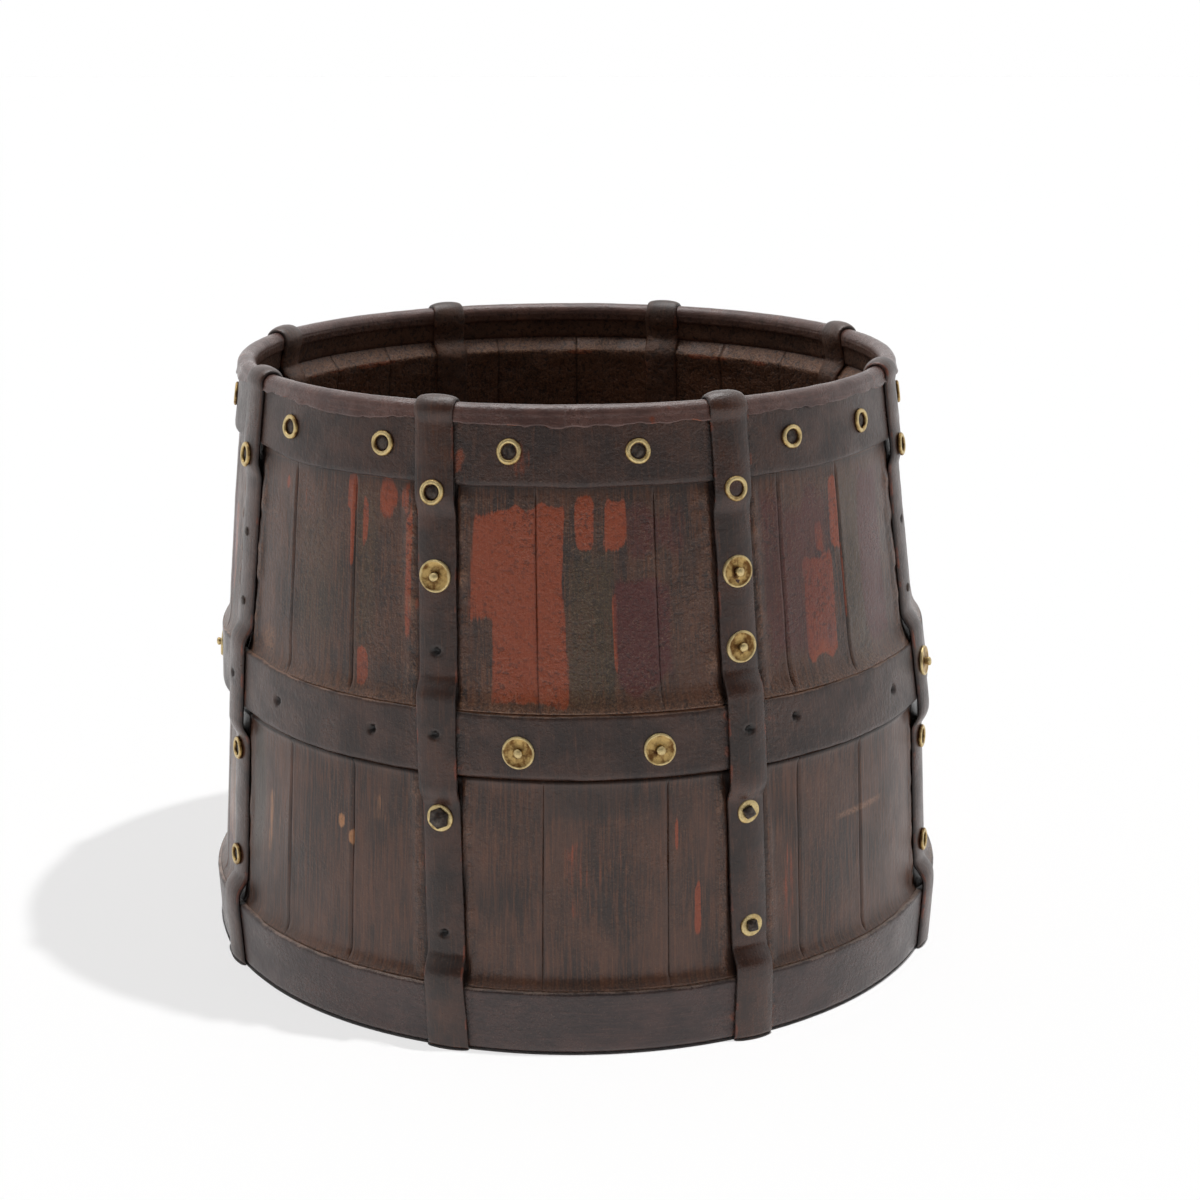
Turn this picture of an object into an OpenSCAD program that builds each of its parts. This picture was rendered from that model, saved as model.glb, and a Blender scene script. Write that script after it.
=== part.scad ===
// Grain measure: a round tub of upright wooden staves, a little narrower at the mouth.
// Three leather hoops go round it, eight leather straps run up the outside, over the
// rim and down the inside, and a rolled leather binding closes the mouth.
// Millimetres, +Z up, origin at the middle of the foot, the front towards -Y.
// Angles round the tub are measured from the front, positive towards +X.

/* [Staves] */
// Width across the staves at the foot
foot_d = 275; // [268:0.5:277]
// Width across the staves at the upper edge of the bottom hoop, the widest place
belly_d = 277.4; // [275:0.2:290]
// Width across the staves at the middle hoop
waist_d = 266.2; // [258:0.2:272]
// Width across the staves at the mouth
mouth_d = 240.8; // [228:0.2:252]
// Height of the staves
stave_h = 220; // [205:1:245]
// Thickness of the staves below the rim
stave_t = 7.5; // [6:0.5:11]
// Turn of the seam beside each strap, degrees past the strap's middle
seam_turn = 2.6; // [0:0.2:4]

/* [Bottom] */
// Height of the underside of the bottom board
board_z = 8; // [5:1:14]
// Thickness of the bottom board
board_t = 9; // [6:0.5:12]
// Depth of the groove in the staves that holds the board
groove_depth = 3; // [2:0.5:4]
// Play of the board in its groove
board_play = 0.3; // [0.1:0.1:0.6]
// Number of planks in the board
planks = 3; // [2:1:5]

/* [Rim] */
// Thickness that the staves are cut down to inside the mouth
tongue_t = 2.4; // [1.8:0.1:4]
// Height of the thinned part of the staves
tongue_h = 12.5; // [8:0.5:18]
// Height of the slope from the thinned part to the full thickness
shoulder_h = 5; // [2:0.5:9]
// Thickness of the leather lining inside the mouth
lining_t = 0.8; // [0.5:0.1:1.5]
// Thickness of the binding on the sides of the rim
binding_t = 0.9; // [0.6:0.1:1.4]
// Thickness of the binding on top of the staves
binding_top_t = 2; // [1.8:0.1:2.4]
// How far the binding reaches down from the top of the staves
binding_skirt = 3.5; // [2.5:0.5:6]

/* [Hoops] */
// Width of the bottom hoop
bottom_hoop_w = 23.5; // [16:0.5:32]
// Thickness of the bottom hoop
bottom_hoop_t = 3.7; // [2.5:0.1:4.5]
// Chamfer round the heel of the bottom hoop and the straps
heel_chamfer = 1.5; // [0.5:0.1:2]
// Height of the lower edge of the middle hoop
middle_hoop_z = 97; // [80:1:104]
// Width of the middle hoop
middle_hoop_w = 23.5; // [18:0.5:26]
// Thickness of the middle hoop
middle_hoop_t = 3; // [2:0.1:4]
// Width of the top hoop, which ends level with the top of the staves
top_hoop_w = 25; // [22:0.5:26]
// Thickness of the top hoop
top_hoop_t = 1.8; // [1.6:0.1:2.6]

/* [Straps] */
// Number of straps
bays = 8; // [6:1:9]
// Width of a strap
strap_w = 14; // [11:0.5:18]
// Thickness of a strap
strap_t = 2.4; // [1.8:0.1:3]
// Where the first strap stands, degrees from the front
strap_turn = -20; // [-30:1:30]
// How far a strap keeps to the level of a hoop past the hoop's edge
strap_lead = 4.5; // [3.5:0.5:5.5]
// Height in which a strap drops from a hoop's level to the staves
strap_ramp = 5; // [3:0.5:6]
// Gap between the bottom board and the lower end of a strap on the inside
strap_end_gap = 12; // [4:1:30]

/* [Fasteners] */
// Diameter of the brass roves, the plain washers of the riveted fasteners
rove_d = 11; // [9:0.5:12]
// Thickness of a rove at its raised edge
rove_t = 1.1; // [0.9:0.1:1.5]
// Diameter of the rivets
rivet_d = 2.5; // [2:0.1:3]
// Diameter of the brass rings round the small nails
ring_d = 8.6; // [7.5:0.1:9.5]
// Diameter of the hole in a ring
ring_hole_d = 5.2; // [4.8:0.1:5.8]
// Thickness of a ring
ring_t = 1.4; // [1:0.1:1.8]
// Diameter of the washers under the square nails
square_washer_d = 8.2; // [7:0.1:9.5]
// Width of the head of a square nail
square_head_w = 3.6; // [3:0.1:4.2]
// Diameter of the washer under the iron stud
stud_washer_d = 9.4; // [8.6:0.1:11]
// Width across the flats of the iron stud
stud_w = 6.2; // [5:0.1:7]
// Diameter of the head of a plain small nail
small_head_d = 3.4; // [2.8:0.1:4]
// Diameter of the shanks of all nails
nail_d = 2; // [1.6:0.1:2.4]
// How deep the nails through the straps go in from the strap's face
nail_depth = 8; // [6:0.5:9]
// How deep the nails of the top hoop go into the staves
tack_bite = 1.8; // [1.2:0.1:2.1]
// Diameter of the holes that have lost their nails
lost_hole_d = 2.6; // [2:0.1:3.2]
// Depth of the holes that have lost their nails
lost_hole_depth = 6; // [3:0.5:8]
// How deep the fasteners' washers and heads are pressed into the leather
seat_depth = 0.35; // [0.25:0.05:0.6]
// Height of the ringed nails above the lower edge of the top hoop
ring_rise = 12; // [10:0.5:14]
// Play of a shank in its hole, all round
shank_play = 0.1; // [0.05:0.05:0.2]

/* [Hidden] */
$fn = 144;

// Where the six fasteners sit on every strap, from the rim down: three between the
// middle hoop and the top hoop, one on the middle hoop and two below it, each as a
// share of that stretch's height
upper_shares = [0.973, 0.597, 0.255];
middle_share = 0.638;
lower_shares = [0.803, 0.245];

// What each strap has there, one letter for each, going round from the first
// strap: r ringed nail, w rove and rivet, s square nail on a washer,
// i iron stud on a washer, n small nail, h hole that has lost its nail
strap_marks = ["rwhhih", "rwwhss", "rhnwrr", "rwhnsr", "rnwhwh", "rwhwhr", "rhnwsr", "rnnhrr"];

// Lean of each strap, degrees, positive where its top leans towards the front's left
lean_turns = [2.3, 0.9, -0.6, 0.4, 0, -0.8, 0.5, 1];

// Where the seams of each bay fall, as shares of the bay, for staves of uneven width
seam_shares = [
    [0, 0.28, 0.68, 1], [0, 0.155, 0.455, 1], [0, 0.36, 0.66, 1], [0, 0.3, 0.64, 1],
    [0, 0.35, 0.72, 1], [0, 0.28, 0.6, 1], [0, 0.34, 0.7, 1], [0, 0.31, 0.613, 1]
];
bay_staves = len(seam_shares[0]) - 1;

// Where the ringed nails of the top hoop sit in each bay, as shares of the bay
ring_shares = [
    [0.222, 0.656], [0.244, 0.633], [0.311, 0.689], [0.289, 0.733],
    [0.267, 0.689], [0.289, 0.711], [0.2, 0.6], [0.289, 0.756]
];

// What the middle hoop has in each bay: the letter, the share of the bay and the
// share of the hoop's width
hoop_mark_shares = [
    [["w", 0.267, 0.447], ["w", 0.711, 0.468]],
    [["h", 0.2, 0.66], ["h", 0.722, 0.51]],
    [["h", 0.311, 0.51]],
    [["w", 0.311, 0.51], ["w", 0.711, 0.51]],
    [["h", 0.267, 0.553], ["h", 0.667, 0.51]],
    [["w", 0.244, 0.468]],
    [["h", 0.178, 0.553], ["w", 0.533, 0.51]],
    [["h", 0.322, 0.553], ["h", 0.767, 0.553]]
];

middle_hoop_top = middle_hoop_z + middle_hoop_w;
top_hoop_z = stave_h - top_hoop_w;
waist_z = middle_hoop_z + middle_hoop_w / 2;
shoulder_z = stave_h - tongue_h;
lip_z = shoulder_z - shoulder_h;
groove_z = board_z + board_t;
bay_turn = 360 / bays;
strap_spare = 6;
strap_span = 2 * asin((strap_w / 2 + strap_spare) / (mouth_d / 2));
strap_step = 2;
level_gap = 1;
tilt_reach = 2;
stave_spare_turn = 3;
cut_over = 4;
rivet_clear = 6;
tack_depth = top_hoop_t + tack_bite;
tack_spare = 0.1;
ring_z = top_hoop_z + ring_rise;
ring_edge_share = 0.58;
ring_flat_share = 0.5;
rove_dish = 0.3;
rove_edge_w = 0.8;
rove_slope_w = 0.6;
head_h = 0.6;
rivet_head_d = 6;
rivet_head_h = 1.4;
peen_d = 3.3;
peen_h = 1.6;
square_head_h = 1.7;
square_washer_t = 0.9;
stud_h = 2.8;
stud_base_share = 0.75;
stud_tip_share = 0.3;
hole_spare = 0.5;
seat_play = 0.2;

// Radius of the staves' outside: a straight heel, then a bow through the belly,
// the waist and the mouth
function bow_r(z) =
    let (u = z - bottom_hoop_w, u1 = waist_z - bottom_hoop_w, u2 = stave_h - bottom_hoop_w)
    let (s1 = (waist_d - belly_d) / 2 / u1, s2 = (mouth_d - waist_d) / 2 / (u2 - u1))
    belly_d / 2 + s1 * u + (s2 - s1) / u2 * u * (u - u1);
function shape_r(z) =
    z < bottom_hoop_w ? (foot_d + (belly_d - foot_d) * z / bottom_hoop_w) / 2 : bow_r(z);

// The wall is made of straight runs between these heights
levels = [
    0, bottom_hoop_w, bottom_hoop_w + strap_lead, bottom_hoop_w + strap_lead + strap_ramp,
    middle_hoop_z - strap_lead - strap_ramp, middle_hoop_z - strap_lead,
    middle_hoop_z, middle_hoop_top,
    middle_hoop_top + strap_lead, middle_hoop_top + strap_lead + strap_ramp,
    top_hoop_z - strap_lead - strap_ramp, top_hoop_z - strap_lead, top_hoop_z, stave_h
];
wall_table = [for (z = levels) [z, shape_r(z)]];
function wall_r(z) = lookup(z, wall_table);

// How far a strap's underside stands off the staves, as it climbs over each hoop
rise_table = [
    [0, bottom_hoop_t], [levels[2], bottom_hoop_t], [levels[3], 0],
    [levels[4], 0], [levels[5], middle_hoop_t],
    [levels[8], middle_hoop_t], [levels[9], 0],
    [levels[10], 0], [levels[11], top_hoop_t], [stave_h, top_hoop_t]
];
function strap_under_r(z) = wall_r(z) + lookup(z, rise_table);
function strap_face_r(z) = strap_under_r(z) + strap_t;

// Tilt of the wall's outward normal above the level
function wall_tilt(z) = atan((wall_r(z - tilt_reach) - wall_r(z + tilt_reach)) / (2 * tilt_reach));

function cycle(list, k) = list[k % len(list)];
function strap_angle(k) = strap_turn + k * bay_turn;
function strap_angle_at(k, z) =
    strap_angle(k) - asin((z - waist_z) * tan(cycle(lean_turns, k)) / wall_r(z));
function seam_angle(k, j) =
    strap_angle(k + cycle(seam_shares, k)[j]) + seam_turn;
function apart(a, b) = abs((a - b + 900) % 360 - 180);

function between(low, high, share) = low + (high - low) * share;
station_z = concat(
    [for (share = upper_shares) between(middle_hoop_top, top_hoop_z, share)],
    [between(middle_hoop_z, middle_hoop_top, middle_share)],
    [for (share = lower_shares) between(bottom_hoop_w, middle_hoop_z, share)]
);

// Every fastener: kind, angle, height, radius of the face it sits on, and the
// thickness that a rivet goes through, measured level
strap_fixings = [for (k = [0 : bays - 1]) for (s = [0 : len(station_z) - 1])
    let (z = station_z[s])
    [cycle(strap_marks, k)[s], strap_angle_at(k, z), z, strap_face_r(z),
     strap_face_r(z) - wall_r(z) + stave_t + strap_t, k]];
hoop_fixings = [for (k = [0 : bays - 1]) for (mark = cycle(hoop_mark_shares, k))
    let (z = between(middle_hoop_z, middle_hoop_top, mark[2]))
    [mark[0], strap_angle(k + mark[1]), z, wall_r(z) + middle_hoop_t, middle_hoop_t + stave_t]];
ring_fixings = [for (k = [0 : bays - 1]) for (share = cycle(ring_shares, k))
    ["t", strap_angle(k + share), ring_z, wall_r(ring_z) + top_hoop_t, 0]];
all_fixings = concat(strap_fixings, hoop_fixings, ring_fixings);

// Sets its children on the wall with their Z axis square to the face, pointing out
module on_face(fixing) {
    rotate([0, 0, fixing[1] - 90])
        translate([fixing[3], 0, fixing[2]])
            rotate([0, 90 - wall_tilt(fixing[2]), 0])
                children();
}

function through(fixing) = fixing[4] * cos(wall_tilt(fixing[2]));
function seat_d(kind) =
    kind == "w" ? rove_d :
    kind == "s" ? square_washer_d :
    kind == "i" ? stud_washer_d :
    kind == "n" ? small_head_d : ring_d;

// A round hole, open at the face, that reaches down to a depth
module sunk(d, depth) {
    translate([0, 0, -depth]) cylinder(d = d, h = depth + cut_over);
}

// What is cut away for one fastener: its seat, the hole for its shank, and on a
// rivet the seat of its inner head
module cut_for(fixing) {
    kind = fixing[0];
    on_face(fixing) {
        if (kind == "h") sunk(lost_hole_d, lost_hole_depth);
        if (kind != "h") sunk(seat_d(kind) + 2 * seat_play, seat_depth);
        if (kind == "w") {
            sunk(rivet_d + 2 * shank_play, through(fixing) + cut_over);
            translate([0, 0, seat_depth - through(fixing) - rivet_clear])
                cylinder(d = rivet_head_d + 2 * seat_play, h = rivet_clear);
        }
        if (kind == "t") sunk(nail_d + 2 * shank_play, tack_depth + tack_spare);
        if (kind == "r" || kind == "s" || kind == "i" || kind == "n")
            sunk(nail_d + 2 * shank_play, nail_depth + hole_spare);
    }
}

// Turns an outline of radius and height round the tub from one angle to another
module sweep(from, to) {
    rotate([0, 0, from - 90]) rotate_extrude(angle = to - from) children();
}

module hoop(z1, z2, thickness, chamfer = 0) {
    rotate_extrude() polygon([
        [wall_r(z1), z1],
        [wall_r(z1) + thickness - chamfer, z1],
        [wall_r(z1 + chamfer) + thickness, z1 + chamfer],
        [wall_r(z2) + thickness, z2],
        [wall_r(z2), z2]
    ]);
}

// Radius of the bottom of the groove, which follows the slope of the wall
function groove_r(z) = wall_r(z) - stave_t + groove_depth;

// Outline of a stave: the bowed outside, the mouth cut thin, and the groove below
module stave_outline() {
    inner_levels = [for (i = [len(levels) - 1 : -1 : 0])
        if (levels[i] > groove_z + level_gap && levels[i] < lip_z - level_gap) levels[i]];
    polygon(concat(
        [for (p = wall_table) [p[1], p[0]]],
        [
            [wall_r(stave_h) - tongue_t, stave_h],
            [wall_r(shoulder_z) - tongue_t, shoulder_z],
            [wall_r(lip_z) - stave_t, lip_z]
        ],
        [for (z = inner_levels) [wall_r(z) - stave_t, z]],
        [
            [wall_r(groove_z) - stave_t, groove_z],
            [groove_r(groove_z), groove_z],
            [groove_r(board_z), board_z],
            [wall_r(board_z) - stave_t, board_z],
            [wall_r(0) - stave_t, 0]
        ]
    ));
}

module stave(n) {
    k = floor((n - 1) / bay_staves);
    j = (n - 1) % bay_staves;
    from = seam_angle(k, j);
    to = seam_angle(k, j + 1);
    reach = (to - from) / 2 + stave_spare_turn;
    color("sienna") difference() {
        sweep(from, to) stave_outline();
        for (f = all_fixings)
            if (apart(f[1], (from + to) / 2) < reach) cut_for(f);
    }
}

// One of the three planks of the bottom board, counted from the front. The board's
// edge slopes with the groove
module plank(i) {
    low_r = groove_r(board_z) - board_play;
    high_r = groove_r(groove_z) - board_play;
    board_r = max(low_r, high_r);
    plank_w = 2 * board_r / planks;
    color("peru") intersection() {
        translate([0, 0, board_z]) cylinder(r1 = low_r, r2 = high_r, h = board_t);
        translate([-board_r, -board_r + (i - 1) * plank_w, 0])
            cube([2 * board_r, plank_w, groove_z + cut_over]);
    }
}

module bottom_hoop() {
    color("saddlebrown") hoop(0, bottom_hoop_w, bottom_hoop_t, heel_chamfer);
}

module middle_hoop() {
    color("saddlebrown") difference() {
        hoop(middle_hoop_z, middle_hoop_top, middle_hoop_t);
        for (f = concat(strap_fixings, hoop_fixings))
            if (f[2] > middle_hoop_z && f[2] < middle_hoop_top) cut_for(f);
    }
}

module top_hoop() {
    color("saddlebrown") difference() {
        hoop(top_hoop_z, stave_h, top_hoop_t);
        for (f = ring_fixings) cut_for(f);
    }
}

// Leather strip glued round the inside of the mouth, on the thinned staves
module rim_lining() {
    color("rosybrown") rotate_extrude() polygon([
        [wall_r(shoulder_z) - tongue_t - lining_t, shoulder_z],
        [wall_r(shoulder_z) - tongue_t, shoulder_z],
        [wall_r(stave_h) - tongue_t, stave_h],
        [wall_r(stave_h) - tongue_t - lining_t, stave_h]
    ]);
}

// The rim's round top: half width, height of its centre and radius of its centre line
rim_out = top_hoop_t;
rim_in = tongue_t + lining_t;
roll_r = (rim_out + rim_in) / 2 + binding_t;
roll_z = stave_h + binding_top_t - roll_r;
roll_ring_r = wall_r(roll_z) + (rim_out - rim_in) / 2;
skirt_z = stave_h - binding_skirt;

// Upper half of a round bar at the rim, seen in section
module half_round(r) {
    intersection() {
        translate([roll_ring_r, roll_z]) circle(r = r);
        translate([roll_ring_r - r, roll_z]) square([2 * r, r]);
    }
}

// Band between two stand-offs from the wall, and between two heights on it
module wall_band(out_1, out_2, z1, z2) {
    polygon([
        [wall_r(z1) + out_1, z1],
        [wall_r(z1) + out_2, z1],
        [wall_r(z2) + out_2, z2],
        [wall_r(z2) + out_1, z2]
    ]);
}

module rim_binding() {
    color("saddlebrown") rotate_extrude() difference() {
        union() {
            half_round(roll_r);
            wall_band(-rim_in - binding_t, rim_out + binding_t, skirt_z, roll_z);
        }
        wall_band(-rim_in, rim_out, skirt_z - level_gap, stave_h);
    }
}

// Points of a half circle over the rim, from the outside to the inside, on a
// polygon whose sides touch the circle
rim_steps = 12;
function over_rim(r) = [for (i = [0 : rim_steps])
    let (turn = 180 * i / rim_steps)
    [roll_ring_r, roll_z] + r / cos(90 / rim_steps) * [cos(turn), sin(turn)]];
function reversed(list) = [for (i = [len(list) - 1 : -1 : 0]) list[i]];

// Outline of a strap: up the outside over the hoops, round the rim, down the inside
module strap_outline() {
    step_z = skirt_z - strap_step;
    end_z = groove_z + strap_end_gap;
    run_z = concat([for (z = levels) if (z > 0 && z < step_z - level_gap) z], [step_z]);
    low_z = [for (z = reversed(levels)) if (z > end_z + level_gap && z < lip_z - level_gap) z];
    climb = concat(
        [for (z = run_z) [strap_under_r(z), z]],
        [[wall_r(skirt_z) + rim_out + binding_t, skirt_z]]
    );
    descent = concat(
        [
            [wall_r(skirt_z) - rim_in - binding_t, skirt_z],
            [wall_r(step_z) - rim_in, step_z],
            [wall_r(shoulder_z) - rim_in, shoulder_z],
            [wall_r(lip_z) - stave_t, lip_z]
        ],
        [for (z = low_z) [wall_r(z) - stave_t, z]],
        [[wall_r(end_z) - stave_t, end_z]]
    );
    polygon(concat(
        [[strap_under_r(0), 0]],
        climb,
        over_rim(roll_r),
        descent,
        [for (p = reversed(descent)) p - [strap_t, 0]],
        reversed(over_rim(roll_r + strap_t)),
        [for (p = reversed(climb)) p + [strap_t, 0]],
        [[strap_face_r(heel_chamfer), heel_chamfer], [strap_face_r(0) - heel_chamfer, 0]]
    ));
}

module strap(k) {
    color("sienna") difference() {
        intersection() {
            sweep(strap_angle(k) - strap_span / 2, strap_angle(k) + strap_span / 2) strap_outline();
            rotate([0, 0, strap_angle(k) - 90])
                translate([0, 0, waist_z])
                    rotate([cycle(lean_turns, k), 0, 0])
                        translate([mouth_d / 4, -strap_w / 2, -stave_h])
                            cube([belly_d / 2, strap_w, 2 * stave_h]);
        }
        for (f = strap_fixings) if (f[5] == k) cut_for(f);
    }
}

// Brass ring with a sloped top, set in the seat
module ring_washer() {
    side_w = (ring_d - ring_hole_d) / 4 * (1 - ring_flat_share);
    edge_h = ring_t * ring_edge_share;
    rotate_extrude() polygon([
        [ring_hole_d / 2, 0],
        [ring_d / 2, 0],
        [ring_d / 2, edge_h],
        [ring_d / 2 - side_w, ring_t],
        [ring_hole_d / 2 + side_w, ring_t],
        [ring_hole_d / 2, edge_h]
    ]);
}

module ring_washers() {
    color("goldenrod") for (f = all_fixings)
        if (f[0] == "r" || f[0] == "t") on_face(f) translate([0, 0, -seat_depth]) ring_washer();
}

// Shank from a depth below the face up into a head
module shank(d, depth, top) {
    translate([0, 0, -depth]) cylinder(d = d, h = depth + top);
}

// Nail with a round head that sits on the seat
module round_nail(head_d, depth) {
    translate([0, 0, -seat_depth]) cylinder(d = head_d, h = head_h);
    shank(nail_d, depth, head_h / 2 - seat_depth);
}

module ring_nails() {
    color("dimgray") for (f = all_fixings) {
        if (f[0] == "r") on_face(f) round_nail(ring_hole_d - 2 * seat_play, nail_depth);
        if (f[0] == "t") on_face(f) round_nail(ring_hole_d - 2 * seat_play, tack_depth);
    }
}

// Round washer, dished a little inside a raised edge
module rove() {
    rotate_extrude() polygon([
        [rivet_d / 2 + shank_play, 0],
        [rove_d / 2, 0],
        [rove_d / 2, rove_t],
        [rove_d / 2 - rove_edge_w, rove_t],
        [rove_d / 2 - rove_edge_w - rove_slope_w, rove_t - rove_dish],
        [rivet_d / 2 + shank_play, rove_t - rove_dish]
    ]);
}

module roves() {
    color("goldenrod") for (f = all_fixings)
        if (f[0] == "w") on_face(f) translate([0, 0, -seat_depth]) rove();
}

// Rivet: a head inside the tub, a shank through the wall, and an end hammered
// round over the rove
module rivet(grip) {
    shank_top = rove_t - rove_dish - seat_depth;
    translate([0, 0, shank_top]) intersection() {
        translate([0, 0, peen_h - peen_d / 2]) sphere(d = peen_d);
        cylinder(d = 2 * peen_d, h = peen_h);
    }
    shank(rivet_d, grip - seat_depth + rivet_head_h / 2, shank_top + peen_h / 2);
    translate([0, 0, seat_depth - grip - rivet_head_h])
        cylinder(d = rivet_head_d, h = rivet_head_h);
}

module rivets() {
    color("gold") for (f = all_fixings)
        if (f[0] == "w") on_face(f) rivet(through(f));
}

module flat_washer(d, t) {
    difference() {
        cylinder(d = d, h = t);
        translate([0, 0, -cut_over]) cylinder(d = nail_d + 2 * shank_play, h = t + 2 * cut_over);
    }
}

module square_nail_washers() {
    color("goldenrod") for (f = all_fixings)
        if (f[0] == "s")
            on_face(f) translate([0, 0, -seat_depth]) flat_washer(square_washer_d, square_washer_t);
}

module square_nail() {
    seat_z = square_washer_t - seat_depth;
    translate([-square_head_w / 2, -square_head_w / 2, seat_z])
        cube([square_head_w, square_head_w, square_head_h]);
    shank(nail_d, nail_depth, seat_z + square_head_h / 2);
}

module square_nails() {
    color("dimgray") for (f = all_fixings) if (f[0] == "s") on_face(f) square_nail();
}

module iron_stud_washer() {
    color("goldenrod") for (f = all_fixings)
        if (f[0] == "i")
            on_face(f) translate([0, 0, -seat_depth]) flat_washer(stud_washer_d, square_washer_t);
}

// Six-sided head, its corners turned down to a blunt point
module iron_stud() {
    seat_z = square_washer_t - seat_depth;
    color("dimgray") for (f = all_fixings) if (f[0] == "i") on_face(f) {
        intersection() {
            translate([0, 0, seat_z]) cylinder(d = stud_w / cos(30), h = stud_h, $fn = 6);
            translate([0, 0, seat_z])
                cylinder(r1 = stud_w * stud_base_share, r2 = stud_w * stud_tip_share, h = stud_h);
        }
        shank(nail_d, nail_depth, seat_z + stud_h / 2);
    }
}

module small_nails() {
    color("dimgray") for (f = all_fixings)
        if (f[0] == "n") on_face(f) round_nail(small_head_d, nail_depth);
}

function two_digits(n) = n < 10 ? str("0", n) : str(n);
function stave_name(n) = str("stave_", two_digits(n));
function strap_name(k) = str("strap_", k + 1);
function plank_name(i) = str("bottom_plank_", i);

for (n = [1 : bay_staves * bays]) stave(n);
for (i = [1 : planks]) plank(i);
bottom_hoop();
middle_hoop();
top_hoop();
rim_lining();
rim_binding();
for (k = [0 : bays - 1]) strap(k);
ring_washers();
ring_nails();
roves();
rivets();
square_nail_washers();
square_nails();
iron_stud_washer();
iron_stud();
small_nails();
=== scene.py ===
"""Looks of the grain measure: staves, hide hoops and straps, rolled binding, brass and iron.

Lengths are millimetres until place() turns them into metres. A turn is an angle round the tub
in degrees, 0 at the front and growing towards +X. Every piece is a surface worked out on a grid.
"""
import math

import bpy
import numpy as np
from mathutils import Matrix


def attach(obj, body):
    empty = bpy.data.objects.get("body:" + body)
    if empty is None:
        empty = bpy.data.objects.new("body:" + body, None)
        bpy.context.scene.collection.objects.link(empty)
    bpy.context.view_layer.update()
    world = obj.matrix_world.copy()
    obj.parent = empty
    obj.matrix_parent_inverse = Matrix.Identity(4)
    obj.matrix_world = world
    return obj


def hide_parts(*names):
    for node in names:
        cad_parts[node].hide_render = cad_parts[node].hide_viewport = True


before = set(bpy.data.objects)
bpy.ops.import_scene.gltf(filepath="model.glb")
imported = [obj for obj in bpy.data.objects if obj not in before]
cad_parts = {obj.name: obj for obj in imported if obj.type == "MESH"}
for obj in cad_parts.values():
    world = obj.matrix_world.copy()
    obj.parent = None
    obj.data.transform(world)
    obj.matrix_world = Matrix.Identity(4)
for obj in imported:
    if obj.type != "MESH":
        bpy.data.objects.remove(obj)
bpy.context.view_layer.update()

# Sizes, as in the solids
LEVELS = [0, 23.5, 28, 33, 87.5, 92.5, 97, 120.5, 125, 130, 185.5, 190.5, 195, 220]
BELLY, WAIST, MOUTH, WAIST_Z = 138.7, 133.1, 120.4, 108.75
HEEL_TOP, MIDDLE_LOW, MIDDLE_TOP, TOP_LOW, STAVE_TOP = 23.5, 97.0, 120.5, 195.0, 220.0
LIP, SHOULDER, STAVE_T, TONGUE_T = 202.5, 207.5, 7.5, 2.4
HEEL_T, MIDDLE_T, TOP_T, STRAP_T, STRAP_W = 3.7, 3.0, 1.8, 2.4, 14.0
RIM_IN, BINDING_T = 3.2, 0.9
ROLL_R, ROLL_Z = 3.4, 218.6
SEAT = 0.35
BAYS, BAY, FIRST = 8, 45.0, -20.0

STRAP_MARKS = ["rwhhih", "rwwhss", "rhnwrr", "rwhnsr", "rnwhwh", "rwhwhr", "rhnwsr", "rnnhrr"]
STRAP_LEANS = [2.3, 0.9, -0.6, 0.4, 0, -0.8, 0.5, 1]
STATIONS = [192.99, 164.98, 139.5, 111.99, 82.52, 41.51]
SEAM_SHARES = [
    [0, 0.28, 0.68, 1], [0, 0.155, 0.455, 1], [0, 0.36, 0.66, 1], [0, 0.3, 0.64, 1],
    [0, 0.35, 0.72, 1], [0, 0.28, 0.6, 1], [0, 0.34, 0.7, 1], [0, 0.31, 0.613, 1],
]
RING_SHARES = [
    [0.222, 0.656], [0.244, 0.633], [0.311, 0.689], [0.289, 0.733],
    [0.267, 0.689], [0.289, 0.711], [0.2, 0.6], [0.289, 0.756],
]
HOOP_MARKS = [
    [["w", 0.267, 0.447], ["w", 0.711, 0.468]], [["h", 0.2, 0.66], ["h", 0.722, 0.51]],
    [["h", 0.311, 0.51]], [["w", 0.311, 0.51], ["w", 0.711, 0.51]],
    [["h", 0.267, 0.553], ["h", 0.667, 0.51]], [["w", 0.244, 0.468]],
    [["h", 0.178, 0.553], ["w", 0.533, 0.51]], [["h", 0.322, 0.553], ["h", 0.767, 0.553]],
]
SEAM_TURN = 2.6


# The tub's form
def bow(z):
    """Straight from the foot to the heel hoop's top, then a parabola through belly, waist and mouth."""
    u, u1, u2 = z - HEEL_TOP, WAIST_Z - HEEL_TOP, STAVE_TOP - HEEL_TOP
    s1, s2 = (WAIST - BELLY) / u1, (MOUTH - WAIST) / (u2 - u1)
    return np.where(z < HEEL_TOP, 137.5 + 1.2 * z / HEEL_TOP, BELLY + s1 * u + (s2 - s1) / u2 * u * (u - u1))


WALL = bow(np.array(LEVELS, float))


def wall(z):
    """Radius of the staves' outside at a height."""
    return np.interp(z, LEVELS, WALL)


def lean(z):
    """The tub has settled a little to its left: shift along X at a height."""
    return np.interp(z, [0, 48, 96, 132, 168, 216], [0, 0, 0.3, -1.7, -2.4, -2.8])


def place(turn, z, r):
    """Point at a turn, height and radius, shifted by the lean, in metres."""
    turn, z, r = np.broadcast_arrays(np.radians(turn), z, r)
    return np.stack([r * np.sin(turn) + lean(z), -r * np.cos(turn), z], -1) * 0.001


def ramp(x, low, high):
    """0 below low, 1 above high, a smooth cubic between."""
    t = np.clip((np.asarray(x, float) - low) / (high - low), 0, 1)
    return t * t * (3 - 2 * t)


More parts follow.
